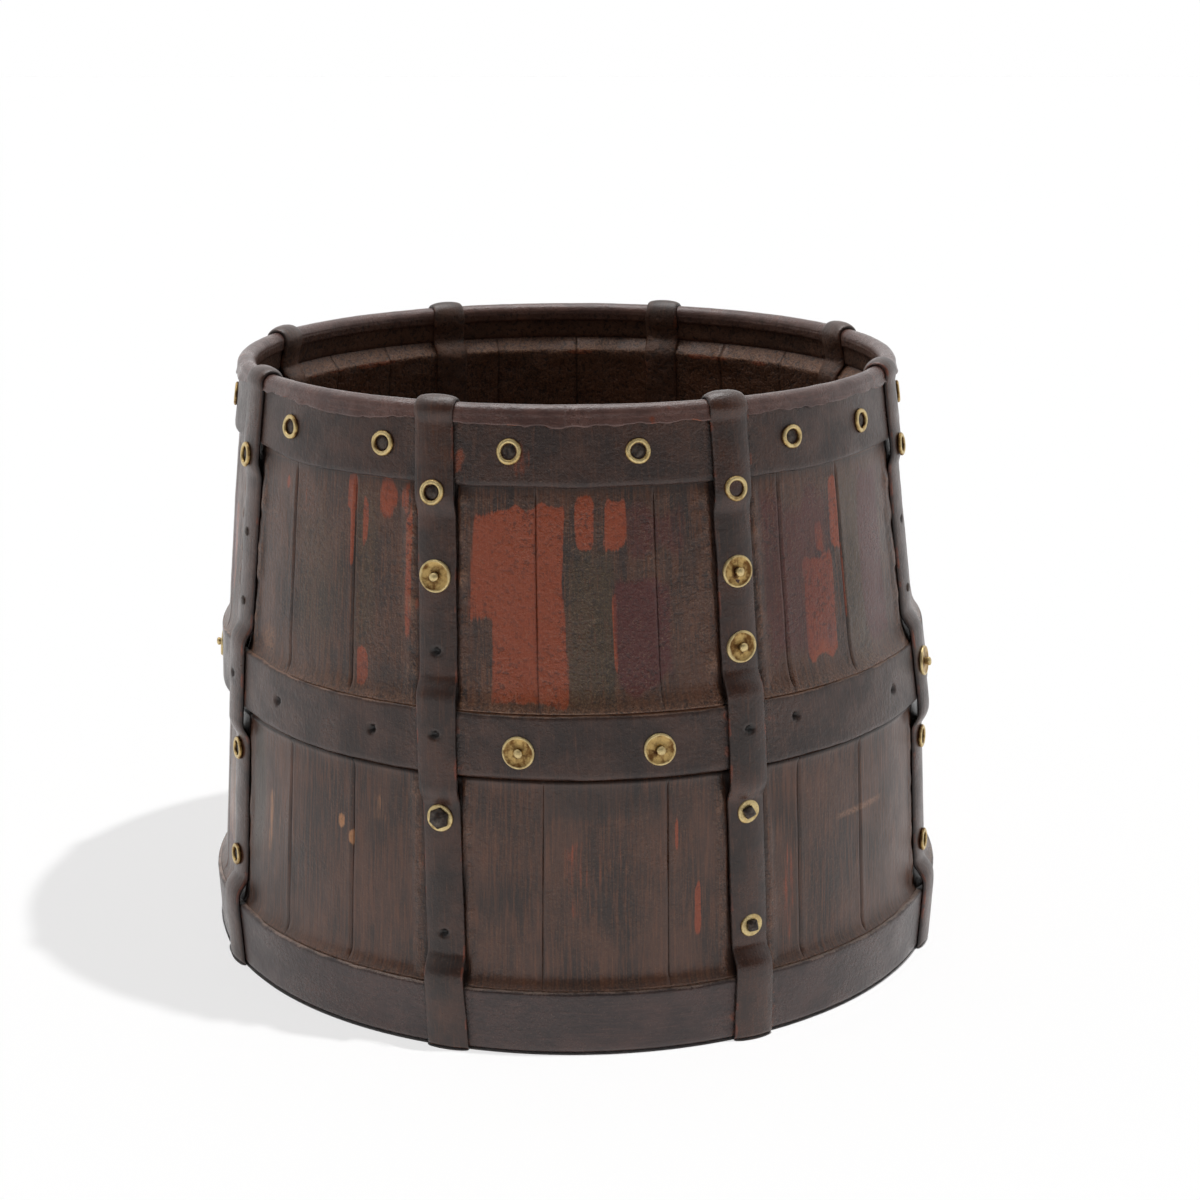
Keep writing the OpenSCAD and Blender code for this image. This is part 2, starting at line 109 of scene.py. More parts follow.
def lumps(points, size, seed=0, layers=1):
    """Value noise from -1 to 1: each corner of a lattice of that size gets a hashed number, and a
    cubic blend joins the eight corners round a point. Each further layer has half the size and height."""
    total, height, weight = 0.0, 1.0, 0.0
    size = np.asarray(size, float)
    for layer in range(layers):
        q = points / size + 37.7 * (layer + 1)
        cell = np.floor(q).astype(np.int64)
        f = q - cell
        f = f * f * (3 - 2 * f)
        value = 0.0
        for corner in range(8):
            step = np.array([corner & 1, corner >> 1 & 1, corner >> 2 & 1])
            c = cell + step
            h = (c[..., 0] * 73856093) ^ (c[..., 1] * 19349663) ^ (c[..., 2] * 83492791) ^ ((seed + layer) * 668265263)
            h = ((h ^ (h >> 13)) * 1274126177) & 0x7FFFFFFF
            h = ((h ^ (h >> 15)) & 0xFFFF) / 32767.5 - 1
            share = np.prod(np.where(step, f, 1 - f), -1)
            value = value + h * share
        total = total + value * height
        weight += height
        height *= 0.5
        size = size * 0.5
    return total / weight


def round_space(turn, z, r=130.0):
    """Points on a plain cylinder in mm, so that a pattern closes at the back."""
    turn, z = np.broadcast_arrays(np.radians(turn), z)
    return np.stack([r * np.sin(turn), r * np.cos(turn), z.astype(float)], -1)


def apart(a, b):
    """Signed difference of two turns, from -180 to 180."""
    return (np.asarray(a) - b + 540) % 360 - 180


def stands_on(turn, z, r):
    """The leaned turn whose point has the same X as the unleaned one, for what the lean doesn't shift."""
    return np.degrees(np.arcsin(np.clip(np.sin(np.radians(turn)) - lean(z) / r, -1, 1)))


def strap_turn(k, z):
    """Turn of a strap's middle at a height: a straight strip with its own small lean."""
    k = k % BAYS
    z = np.minimum(np.asarray(z, float), 221.0)
    slope = math.tan(math.radians(STRAP_LEANS[k]))
    turn = FIRST + BAY * k - np.degrees(np.arcsin((z - WAIST_Z) * slope / wall(z)))
    if k in (0, 1, 7):
        turn = stands_on(turn, z, wall(z))
    return turn


def strap_gap(turn, z):
    """Distance in mm from the nearest strap's edge, measured round the wall, and which side it is on."""
    best = np.full(np.broadcast(turn, z).shape, 1e9)
    side = np.zeros_like(best)
    for k in range(BAYS):
        away = np.radians(apart(turn, strap_turn(k, z))) * wall(z)
        gap = np.abs(away) - STRAP_W / 2
        side = np.where(gap < best, np.sign(away), side)
        best = np.minimum(best, gap)
    return best, side


def rise(z):
    """How far a strap's underside stands off the staves."""
    return np.interp(
        z, [0, 28, 33, 87.5, 92.5, 125, 130, 185.5, 190.5, 220],
        [HEEL_T, HEEL_T, 0, 0, MIDDLE_T, MIDDLE_T, 0, 0, TOP_T, TOP_T],
    )


def wall_tilt(z):
    return np.degrees(np.arctan((wall(z - 2) - wall(z + 2)) / 4))


# Every fastener: kind, turn, height, radius of the face it sits on
strap_fixings = [
    (STRAP_MARKS[k][s], float(strap_turn(k, z)), z, float(wall(z) + rise(z)) + STRAP_T, k)
    for k in range(BAYS) for s, z in enumerate(STATIONS)
]
hoop_fixings = []
ring_fixings = []
for bay in range(BAYS):
    for kind, share, up in HOOP_MARKS[bay]:
        z = MIDDLE_LOW + up * (MIDDLE_TOP - MIDDLE_LOW)
        turn = FIRST + BAY * (bay + share)
        hoop_fixings.append((kind, turn, z, float(wall(z)) + MIDDLE_T, -1))
    for share in RING_SHARES[bay]:
        turn = FIRST + BAY * (bay + share)
        if abs(apart(turn, 0)) < 75:
            turn = float(stands_on(apart(turn, 0), 207.0, 123.8))
        ring_fixings.append(("t", turn, 207.0, float(wall(207.0)) + TOP_T, -1))
all_fixings = strap_fixings + hoop_fixings + ring_fixings


# Mesh making
def mend_winding(points, faces):
    """Turns the faces round if they enclose a negative volume."""
    a, b, c = (points[faces[:, i]] for i in range(3))
    if np.einsum("ij,ij->i", np.cross(a, b), c).sum() < 0:
        return faces[:, ::-1]
    return faces


def make_piece(name, points, quads, layers, tris=None):
    """Puts points, four-sided faces, three-sided faces and the layers of finish into a smooth mesh."""
    mesh = bpy.data.meshes.new(name)
    counts = [4] * len(quads)
    flat = quads.reshape(-1)
    if tris is not None and len(tris):
        counts += [3] * len(tris)
        flat = np.concatenate([flat, tris.reshape(-1)])
    counts = np.array(counts, np.int32)
    mesh.vertices.add(len(points))
    mesh.vertices.foreach_set("co", points.astype(np.float32).reshape(-1))
    mesh.loops.add(len(flat))
    mesh.loops.foreach_set("vertex_index", flat.astype(np.int32))
    mesh.polygons.add(len(counts))
    starts = np.concatenate([[0], np.cumsum(counts)[:-1]]).astype(np.int32)
    mesh.polygons.foreach_set("loop_start", starts)
    mesh.polygons.foreach_set("use_smooth", np.ones(len(counts), bool))
    mesh.update(calc_edges=True)
    mesh.validate()
    for key, value in layers.items():
        kind = "FLOAT_VECTOR" if value.shape[-1] == 3 else "FLOAT_COLOR"
        layer = mesh.attributes.new(key, kind, "POINT")
        layer.data.foreach_set("vector" if kind == "FLOAT_VECTOR" else "color", value.astype(np.float32).reshape(-1))
    piece = bpy.data.objects.new(name, mesh)
    bpy.context.scene.collection.objects.link(piece)
    return piece


def grid_quads(rows, columns, wrap, start=0):
    """Faces between neighbouring points of a grid; wrap joins the last column to the first."""
    i, j = np.meshgrid(np.arange(rows - 1), np.arange(columns if wrap else columns - 1), indexing="ij")
    a = i * columns + j
    b = i * columns + (j + 1) % columns
    return np.stack([a, b, b + columns, a + columns], -1).reshape(-1, 4) + start


def slab(name, front, back, layers, wrap=False):
    """Closed sheet between a front grid and a back grid of the same shape: both grids, and a strip
    along the border that joins them. layers holds the front's and the back's values."""
    rows, columns = front.shape[:2]
    n = rows * columns
    points = np.concatenate([front.reshape(-1, 3), back.reshape(-1, 3)])
    faces = [grid_quads(rows, columns, wrap), grid_quads(rows, columns, wrap, n)[:, ::-1]]
    index = np.arange(n).reshape(rows, columns)
    low, high = index[0], index[-1]
    if wrap:
        low, high = np.append(low, low[0]), np.append(high, high[0])
    else:
        for edge, turn in ((index[:, 0], 1), (index[:, -1], -1)):
            strip = np.stack([edge[:-1], edge[1:], edge[1:] + n, edge[:-1] + n], -1)
            faces.append(strip[:, ::turn])
    for edge, turn in ((low, -1), (high, 1)):
        strip = np.stack([edge[:-1], edge[1:], edge[1:] + n, edge[:-1] + n], -1)
        faces.append(strip[:, ::turn])
    faces = mend_winding(points, np.concatenate(faces))
    flat = {key: np.concatenate([v[0].reshape(-1, v[0].shape[-1]), v[1].reshape(-1, v[1].shape[-1])])
            for key, v in layers.items()}
    return make_piece(name, points, faces, flat)


def coat(shape, paint=(0, 0, 0, 0), skin=(0, 0, 0, 0)):
    """Blank layers of finish: paint holds orange, wine, olive and light (a pale worn tone, along the hoops'
    upper edges also a painted highlight); skin holds crumb, dust (with one painted highlight line), dirt
    together with painted shade, and shine."""
    paint = np.broadcast_to(np.array(paint, float), shape + (4,)).copy()
    skin = np.broadcast_to(np.array(skin, float), shape + (4,)).copy()
    return paint, skin


def lie(across, along, depth=0.0):
    """Where a point lies on its piece: across and along it, in metres, for grain and streaks."""
    across, along, depth = np.broadcast_arrays(across, along, depth)
    return np.stack([across, along, depth], -1) * 0.001


def finish(piece, material, node_names):
    piece.data.materials.append(material)
    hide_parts(*node_names)
    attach(piece, "root")
    return piece


# Finishes
def shade(red, green, blue):
    """A colour written as 0 to 255 screen values, as the shader's linear values."""
    values = [v / 255 for v in (red, green, blue)]
    return tuple(v / 12.92 if v <= 0.04045 else ((v + 0.055) / 1.055) ** 2.4 for v in values) + (1.0,)


class Finish:
    """A material and short words for the nodes that the finishes share. Sizes are in mm."""

    def __init__(self, name):
        self.made = bpy.data.materials.new(name)
        self.made.use_nodes = True
        self.nodes, self.links = self.made.node_tree.nodes, self.made.node_tree.links
        self.nodes.clear()
        self.out = self.nodes.new("ShaderNodeOutputMaterial")
        self.skin = self.nodes.new("ShaderNodeBsdfPrincipled")
        self.links.new(self.skin.outputs[0], self.out.inputs[0])

    def give(self, socket, value):
        if isinstance(value, bpy.types.NodeSocket):
            self.links.new(value, socket)
        else:
            socket.default_value = value

    def layer(self, name, part=None):
        node = self.nodes.new("ShaderNodeAttribute")
        node.attribute_name = name
        if part is None:
            return node.outputs["Vector"]
        if part == 3:
            return node.outputs["Alpha"]
        split = self.nodes.new("ShaderNodeSeparateColor")
        self.links.new(node.outputs["Color"], split.inputs[0])
        return split.outputs[part]

    def spots(self, size, stretch=(1, 1, 1), detail=3, rough=0.55, shift=0.0, on="lie", swirl=0.0):
        """Cloudy noise whose features are about size mm wide, drawn out by stretch."""
        if on == "lie":
            source = self.layer("lie")
        else:
            source = self.nodes.new("ShaderNodeTexCoord").outputs["Object"]
        move = self.nodes.new("ShaderNodeMapping")
        move.vector_type = "POINT"
        self.links.new(source, move.inputs["Vector"])
        move.inputs["Location"].default_value = (shift, shift * 0.7, shift * 1.3)
        move.inputs["Scale"].default_value = [1000 / (size * s) for s in stretch]
        noise = self.nodes.new("ShaderNodeTexNoise")
        noise.inputs["Scale"].default_value = 1.0
        noise.inputs["Detail"].default_value = detail
        noise.inputs["Roughness"].default_value = rough
        noise.inputs["Distortion"].default_value = swirl
        self.links.new(move.outputs[0], noise.inputs["Vector"])
        return noise.outputs["Fac"]

    def cells(self, size, stretch=(1, 1, 1), shift=0.0, feature="F1", on="lie"):
        """Distance to the nearest of scattered points about size mm apart."""
        source = self.layer("lie") if on == "lie" else self.nodes.new("ShaderNodeTexCoord").outputs["Object"]
        move = self.nodes.new("ShaderNodeMapping")
        self.links.new(source, move.inputs["Vector"])
        move.inputs["Location"].default_value = (shift, shift, shift)
        move.inputs["Scale"].default_value = [1000 / (size * s) for s in stretch]
        cell = self.nodes.new("ShaderNodeTexVoronoi")
        cell.feature = feature
        cell.inputs["Scale"].default_value = 1.0
        self.links.new(move.outputs[0], cell.inputs["Vector"])
        return cell.outputs["Distance"]

    def step(self, value, low, high, out_low=0.0, out_high=1.0):
        node = self.nodes.new("ShaderNodeMapRange")
        node.interpolation_type = "SMOOTHSTEP"
        self.give(node.inputs[0], value)
        for socket, v in zip(node.inputs[1:5], (low, high, out_low, out_high)):
            self.give(socket, v)
        return node.outputs[0]

    def sum(self, kind, a, b, clamp=False):
        node = self.nodes.new("ShaderNodeMath")
        node.operation = kind
        node.use_clamp = clamp
        self.give(node.inputs[0], a)
        self.give(node.inputs[1], b)
        return node.outputs[0]

    def times(self, a, b, clamp=False):
        return self.sum("MULTIPLY", a, b, clamp)

    def plus(self, a, b, clamp=False):
        return self.sum("ADD", a, b, clamp)

    def blend(self, share, a, b, kind="MIX"):
        node = self.nodes.new("ShaderNodeMix")
        node.data_type = "RGBA"
        node.blend_type = kind
        self.give(node.inputs[0], share)
        self.give(node.inputs[6], a)
        self.give(node.inputs[7], b)
        return node.outputs[2]

    def relief(self, height, depth, below=None):
        """Bump whose full height is depth mm."""
        node = self.nodes.new("ShaderNodeBump")
        node.inputs["Strength"].default_value = 1.0
        node.inputs["Distance"].default_value = depth * 0.001
        self.give(node.inputs["Height"], height)
        if below is not None:
            self.links.new(below, node.inputs["Normal"])
        return node.outputs[0]

    def done(self, colour, roughness, normal, **plain):
        self.give(self.skin.inputs["Base Color"], colour)
        self.give(self.skin.inputs["Roughness"], roughness)
        self.links.new(normal, self.skin.inputs["Normal"])
        for key, value in plain.items():
            self.skin.inputs[key.replace("_", " ")].default_value = value
        return self.made


def lacquered_wood():
    """Dark lacquer over wood: brushed grain, pebbled crumbs, washes of orange and wine, worn light streaks,
    pale dust with one painted highlight line, and dark dirt together with painted shade.
    """
    f = Finish("lacquered_staves")
    orange, wine, olive = (f.layer("paint", i) for i in range(3))
    light = f.layer("paint", 3)
    crumb, dust_and_highlight, dirt_and_shade = (f.layer("skin", i) for i in range(3))
    shine = f.layer("skin", 3)
    grain = f.spots(0.9, (1, 22, 1), 4, 0.65)
    fibre = f.spots(0.45, (1, 30, 1), 3, 0.7, 3.1)
    cloud = f.spots(16, (1, 2.2, 1), 4, 0.6, 1.7)
    grit = f.spots(0.75, (1, 1, 1), 3, 0.75, 5.3, "object")
    pebbles = f.spots(1.7, (1, 1, 1), 2, 0.6, 2.3, "object")
    base = f.blend(f.step(cloud, 0.35, 0.68), shade(44, 27, 20), shade(88, 53, 35))
    base = f.blend(f.step(grain, 0.42, 0.7, 0, 0.75), base, shade(112, 66, 40))
    base = f.blend(f.step(fibre, 0.6, 0.76, 0, 0.5), base, shade(146, 92, 56))
    base = f.blend(f.times(olive, f.step(grit, 0.3, 0.6)), base, shade(74, 58, 34))
    flake = f.step(f.plus(f.times(orange, 0.62), f.times(f.plus(grain, cloud), 0.32)), 0.56, 0.7)
    base = f.blend(f.times(f.step(flake, 0, 1, 0, 0.92), f.step(grit, 0.15, 0.5)), base, shade(158, 66, 26))
    red = f.step(f.plus(f.times(wine, 0.6), f.times(f.plus(fibre, cloud), 0.3)), 0.5, 0.72)
    base = f.blend(f.times(red, 0.85), base, shade(84, 22, 20))
    pale = f.step(f.plus(f.times(light, 0.7), f.times(grain, 0.55)), 0.62, 0.82)
    base = f.blend(pale, base, shade(186, 128, 82))
    grey = f.times(f.step(grit, 0.52, 0.7), f.plus(f.times(crumb, 0.5), 0.14))
    base = f.blend(grey, base, shade(150, 116, 92))
    # Pale dust; one narrow wash of it on a lower panel is a painted highlight line.
    base = f.blend(f.times(dust_and_highlight, f.step(grit, 0.3, 0.62)), base, shade(164, 118, 88))
    # Near black from the dirt layer: dark seams and stains, and painted shade along the straps and under the hoops.
    base = f.blend(f.times(dirt_and_shade, 0.9), base, shade(16, 11, 10))
    pits = f.times(f.step(pebbles, 0.5, 0.32), f.plus(f.times(crumb, 0.6), 0.12))
    base = f.blend(pits, base, shade(28, 18, 15))
    height = f.plus(f.times(grain, f.sum("SUBTRACT", 0.5, f.times(crumb, 0.35))), f.times(fibre, 0.18))
    height = f.plus(height, f.times(pebbles, f.plus(f.times(crumb, 1.5), 0.25)))
    height = f.plus(height, f.times(grit, f.plus(f.times(crumb, 0.9), 0.22)))
    normal = f.relief(height, 0.34)
    rough = f.plus(f.step(cloud, 0.3, 0.7, 0.5, 0.36), f.times(f.step(grit, 0.4, 0.7), 0.1))
    rough = f.sum("SUBTRACT", rough, f.times(shine, 0.16), True)
    return f.done(base, rough, normal, Specular_IOR_Level=0.5, Coat_Weight=0.18, Coat_Roughness=0.22)


def hide(name, dark, middle, pale, worn, streak=(1, 14, 1), shine_low=0.34, shine_high=0.5):
    """Stiff lacquered hide: streaks along the strip, a fine pebbled grain, rubbed pale edges (along the hoops'
    upper edges also a painted highlight), dusty inside, dark dirt together with painted shade.
    """
    f = Finish(name)
    orange, wine, olive = (f.layer("paint", i) for i in range(3))
    rub_and_highlight = f.layer("paint", 3)
    crumb, dust_and_highlight, dirt_and_shade = (f.layer("skin", i) for i in range(3))
    shine = f.layer("skin", 3)
    streaks = f.spots(1.0, streak, 4, 0.65, 0.9)
    cloud = f.spots(13, (1, 1, 1), 4, 0.6, 6.1, "object")
    grit = f.spots(0.7, (1, 1, 1), 3, 0.75, 4.7, "object")
    pebbles = f.spots(1.8, (1, 1, 1), 2, 0.6, 7.3, "object")
    base = f.blend(f.step(cloud, 0.32, 0.7), dark, middle)
    base = f.blend(f.step(streaks, 0.5, 0.72, 0, 0.6), base, pale)
    base = f.blend(f.times(olive, f.step(grit, 0.35, 0.62)), base, shade(72, 58, 38))
    flake = f.step(f.plus(f.times(orange, 0.6), f.times(f.plus(streaks, cloud), 0.32)), 0.56, 0.72)
    base = f.blend(f.times(flake, f.step(grit, 0.2, 0.55)), base, shade(138, 62, 30))
    base = f.blend(f.times(wine, 0.7), base, shade(70, 40, 42))
    # Pale rubbed edges; the pale line along each hoop's upper edge is also a painted highlight.
    edge = f.step(f.plus(f.times(rub_and_highlight, 0.62), f.times(f.plus(grit, cloud), 0.3)), 0.52, 0.74)
    base = f.blend(edge, base, worn)
    grey = f.times(f.step(grit, 0.55, 0.72), f.plus(f.times(crumb, 0.5), 0.12))
    base = f.blend(grey, base, shade(140, 110, 90))
    dusty = f.plus(f.times(dust_and_highlight, f.step(grit, 0.2, 0.6)), f.times(dust_and_highlight, f.step(cloud, 0.35, 0.65, 0, 0.45)), True)
    base = f.blend(f.times(dusty, 0.9), base, shade(128, 92, 70))
    pits = f.times(f.step(pebbles, 0.5, 0.33), f.plus(f.times(crumb, 0.65), 0.1))
    base = f.blend(pits, base, shade(26, 17, 15))
    # Near black from the dirt layer: painted shade in empty nail holes, along the straps and at the hoops' lower edges,
    # and the darkened undersides.
    base = f.blend(f.times(dirt_and_shade, 0.95), base, shade(12, 9, 8))
    height = f.plus(f.times(streaks, 0.3), f.times(pebbles, f.plus(f.times(crumb, 1.5), 0.3)))
    height = f.plus(height, f.times(grit, f.plus(f.times(crumb, 0.9), 0.25)))
    normal = f.relief(height, 0.32)
    rough = f.plus(f.step(cloud, 0.3, 0.7, shine_high, shine_low), f.times(f.step(grit, 0.4, 0.7), 0.08))
    rough = f.plus(rough, f.times(dust_and_highlight, 0.3))
    rough = f.sum("SUBTRACT", rough, f.times(shine, 0.16), True)
    return f.done(base, rough, normal, Specular_IOR_Level=0.5, Coat_Weight=0.12, Coat_Roughness=0.25)


def old_brass():
    """Brass rubbed bright on its edges, brown patina in blotches, fine scratches."""
    f = Finish("old_brass")
    rub_and_highlight = f.layer("paint", 3)
    dirt_and_shade = f.layer("skin", 2)
    blotch = f.spots(3.2, (1, 1, 1), 4, 0.6, 0.3, "object")
    grit = f.spots(0.5, (1, 1, 1), 3, 0.7, 1.3, "object")
    base = f.blend(f.step(blotch, 0.36, 0.62), shade(112, 76, 36), shade(196, 164, 104))
    base = f.blend(f.times(f.step(rub_and_highlight, 0.2, 0.8), 0.9), base, shade(226, 204, 150))
    base = f.blend(f.times(dirt_and_shade, f.step(blotch, 0.7, 0.35)), base, shade(66, 36, 18))
    base = f.blend(f.times(f.step(grit, 0.52, 0.68), 0.35), base, shade(96, 66, 34))
    normal = f.relief(f.plus(f.times(blotch, 0.8), f.times(grit, 0.5)), 0.16)
    rough = f.plus(f.step(blotch, 0.3, 0.65, 0.5, 0.34), f.times(dirt_and_shade, 0.2), True)
    return f.done(base, rough, normal, Metallic=0.8, Specular_IOR_Level=0.5)


def dark_iron():
    """Hand-made iron, nearly black, with hammered facets and brown rust in the hollows."""
    f = Finish("dark_iron")
    blotch = f.spots(2.2, (1, 1, 1), 4, 0.6, 2.3, "object")
    grit = f.spots(0.5, (1, 1, 1), 3, 0.7, 3.9, "object")
    base = f.blend(f.step(blotch, 0.35, 0.65), shade(40, 34, 32), shade(92, 84, 78))
    base = f.blend(f.times(f.step(grit, 0.5, 0.66), 0.6), base, shade(84, 52, 34))
    normal = f.relief(f.plus(f.times(blotch, 1.0), f.times(grit, 0.6)), 0.2)
    rough = f.step(grit, 0.3, 0.7, 0.38, 0.62)
    return f.done(base, rough, normal, Metallic=0.55, Specular_IOR_Level=0.5)


def board_wood():
    """Bare old boards, grey-brown grain along X, dust in the hollows."""
    f = Finish("board_wood")
    grain = f.spots(1.3, (26, 1, 1), 4, 0.65)
    cloud = f.spots(22, (2, 1, 1), 3, 0.6, 4.4)
    grit = f.spots(0.9, (1, 1, 1), 3, 0.75, 2.2, "object")
    base = f.blend(f.step(grain, 0.35, 0.68), shade(56, 38, 28), shade(112, 82, 60))
    base = f.blend(f.step(cloud, 0.35, 0.7, 0, 0.6), base, shade(84, 60, 44))
    base = f.blend(f.times(f.step(grit, 0.5, 0.7), 0.4), base, shade(140, 112, 88))
    base = f.blend(f.times(f.layer("skin", 2), 0.9), base, shade(18, 13, 11))
    normal = f.relief(f.plus(f.times(grain, 0.8), f.times(grit, 0.3)), 0.4)
    return f.done(base, f.step(grain, 0.3, 0.7, 0.62, 0.78), normal, Specular_IOR_Level=0.3)


wood = lacquered_wood()
hoop_hide = hide("hoop_hide", shade(44, 27, 22), shade(74, 45, 33), shade(92, 58, 42), shade(168, 128, 104))
heel_hide = hide("heel_hide", shade(50, 34, 33), shade(72, 47, 42), shade(86, 58, 52), shade(186, 156, 140),
                 (14, 1, 1), 0.3, 0.42)
strap_hide = hide("strap_hide", shade(42, 26, 20), shade(76, 44, 30), shade(96, 58, 38), shade(150, 96, 66))
binding_hide = hide("binding_hide", shade(78, 52, 47), shade(112, 80, 72), shade(124, 88, 78), shade(150, 76, 40),
                    (10, 1, 1), 0.28, 0.42)
lining_hide = hide("lining_hide", shade(62, 42, 32), shade(96, 66, 50), shade(104, 74, 58), shade(140, 104, 80),
                   (1, 1, 1), 0.6, 0.72)
brass, iron, boards = old_brass(), dark_iron(), board_wood()


# What lies where on the wall
# Washes on the panels: layer, turn from and to, height from and to, softness in degrees and mm, strength
WASHES = [
    ("orange", -51.6, -50.2, 184, 191, 0.5, 2, 0.9), ("orange", -36.3, -34.7, 184, 194, 0.3, 2, 1.0),
    ("orange", -35.6, -35.0, 164, 184, 0.2, 3, 0.9), ("orange", -33.3, -32.2, 171, 188, 0.4, 4, 0.75),
    ("orange", -48, -42, 150, 190, 3, 12, 0.35), ("orange", -30.5, -24.5, 182, 196, 2, 5, 0.6),
    ("orange", -25.6, -24.0, 138, 186, 0.6, 6, 0.62), ("orange", -33.8, -31.5, 124, 137, 0.8, 3, 0.75),
    ("olive", -34.2, -30.5, 138, 190, 1.2, 8, 0.7), ("olive", -47, -39, 138, 178, 3, 14, 0.5),
    ("dirt_and_shade", -32, -26, 122, 134, 2, 5, 0.6), ("dust_and_highlight", -58, -52, 125, 134, 2, 4, 0.7),
    ("orange", -15, -11, 150, 188, 1, 4, 0.62), ("orange", -11.4, -0.8, 123, 188, 0.8, 3, 0.85),
    ("orange", -6, -0.8, 123, 184, 1.5, 6, 0.35), ("orange", 1, 4, 174, 192, 0.8, 4, 0.9),
    ("orange", 5, 9, 173, 192, 1, 4, 0.75), ("orange", 6.3, 7.1, 133, 160, 0.3, 5, 0.9),
    ("olive", 0, 6.6, 122, 174, 0.8, 8, 0.85), ("wine", 6.8, 15, 128, 165, 1.2, 5, 1.0),
    ("wine", 8, 19, 170, 190, 2, 5, 0.55), ("wine", 30, 47.5, 128, 190, 3, 8, 0.55),
    ("wine", 53.5, 61, 128, 191, 1.5, 6, 0.75), ("orange", 38.5, 46, 128, 166, 1.2, 4, 0.78),
    ("orange", 41, 43.5, 126, 160, 0.8, 3, 0.3), ("orange", 45.6, 48, 164, 191, 0.4, 4, 0.8),
    ("orange", 41.5, 44, 163, 177, 0.8, 4, 0.7), ("orange", 47.7, 48.4, 138, 168, 0.2, 4, 0.8),
    ("olive", 48.4, 54, 124, 192, 1, 6, 0.8), ("olive", -59.5, -56.3, 48, 97, 0.8, 8, 0.8),
    ("dirt_and_shade", -60, -57, 30, 97, 1, 8, 0.45), ("light", -55.2, -53, 48, 76, 0.8, 6, 0.62),
    ("light", -51.9, -51.3, 52, 75, 0.2, 4, 0.7), ("light", -37.8, -36.4, 71, 76, 0.5, 2, 0.85),
    ("light", -35.6, -34.6, 66, 71, 0.4, 2, 0.9), ("light", -36.0, -35.5, 81, 88, 0.2, 2, 0.8),
    ("light", -32, -28, 75, 89, 1.5, 4, 0.55), ("orange", -56, -24, 26, 92, 2, 8, 0.3),
    ("orange", -2.5, 8.5, 46, 77, 1.2, 3, 0.42), ("orange", -14, -6, 26, 70, 2, 8, 0.25),
    # The next two dark washes, just below the middle hoop, are the hoop's painted shadow.
    ("dirt_and_shade", -5, 9, 84, 97, 3, 2, 0.55), ("dirt_and_shade", 9, 13, 86, 97, 2, 3, 0.5),
    ("orange", 16.9, 18.2, 38, 62, 0.3, 6, 0.8), ("orange", 14, 14.7, 71, 83, 0.3, 4, 0.8),
    ("orange", 31, 34, 25, 76, 0.8, 8, 0.42), ("orange", 35, 50, 52, 76, 2, 4, 0.35),
    # The dust wash at heights 70 to 71.6 is a painted highlight line.
    ("light", 47.5, 49.5, 76, 92, 0.6, 4, 0.5), ("dust_and_highlight", 42, 54, 70, 71.6, 1, 0.6, 0.7),
]
# The dirt layer also holds painted shadow, and the dust layer one painted highlight line.
LAYER_OF = {"orange": (0, 0), "wine": (0, 1), "olive": (0, 2), "light": (0, 3),
            "crumb": (1, 0), "dust_and_highlight": (1, 1), "dirt_and_shade": (1, 2), "shine": (1, 3)}


def more_washes():
    """The bays that the front view doesn't show get washes of the same kinds, laid out by a seeded draw."""
    draw = np.random.default_rng(11)
    found = []
    for bay in (2, 3, 4, 5, 6):
        start = FIRST + BAY * bay + 6
        for low, high in ((124, 190), (26, 92)):
            for kind, times, strength in (("orange", 4, 0.7), ("wine", 1, 0.8), ("olive", 2, 0.7), ("light", 2, 0.5)):
                for _ in range(times):
                    a = start + draw.uniform(0, 30)
                    z = draw.uniform(low, high - 20)
                    wide, tall = draw.uniform(0.8, 7), draw.uniform(10, high - z)
                    found.append((kind, a, a + wide, z, z + tall, 0.25 + wide / 6, 4, strength * draw.uniform(0.6, 1.2)))
    return found


def wash_layers(turn, z, paint, skin):
    """Adds every wash to the layers: a soft box in turn and height whose edges waver with the grain."""
    space = round_space(turn, z)
    waver = lumps(space, (5, 5, 30), 21, 2)
    for kind, a, b, low, high, soft, soft_z, strength in WASHES + more_washes():
        middle = (a + b) / 2
        side = np.abs(apart(turn, middle)) - (b - a) / 2 + waver * soft * 0.9
        up = np.maximum(low - z, z - high) + waver * soft_z
        mask = (1 - ramp(side, -soft, soft)) * (1 - ramp(up, -soft_z, soft_z)) * strength
        layer, part = LAYER_OF[kind]
        target = (paint, skin)[layer]
        target[..., part] = np.maximum(target[..., part], mask)


# Staves
def stave_rows():
    """Heights of a stave's rows: about a millimetre apart, closer at the groove, the hoops and the lip."""
    fixed = [0, 7.95, 8, 16.95, 17, 23.4, 23.6, 24.3, 96.9, 97.1, 120.4, 120.6, 121.2, 194.9, 195.1,
             202.3, 202.7, 207.4, 207.6, 219, 220]
    plain = np.arange(1, 219, 1.05)
    near = np.abs(plain[:, None] - np.array(fixed)[None]).min(1)
    return np.sort(np.concatenate([fixed, plain[near > 0.45]]))


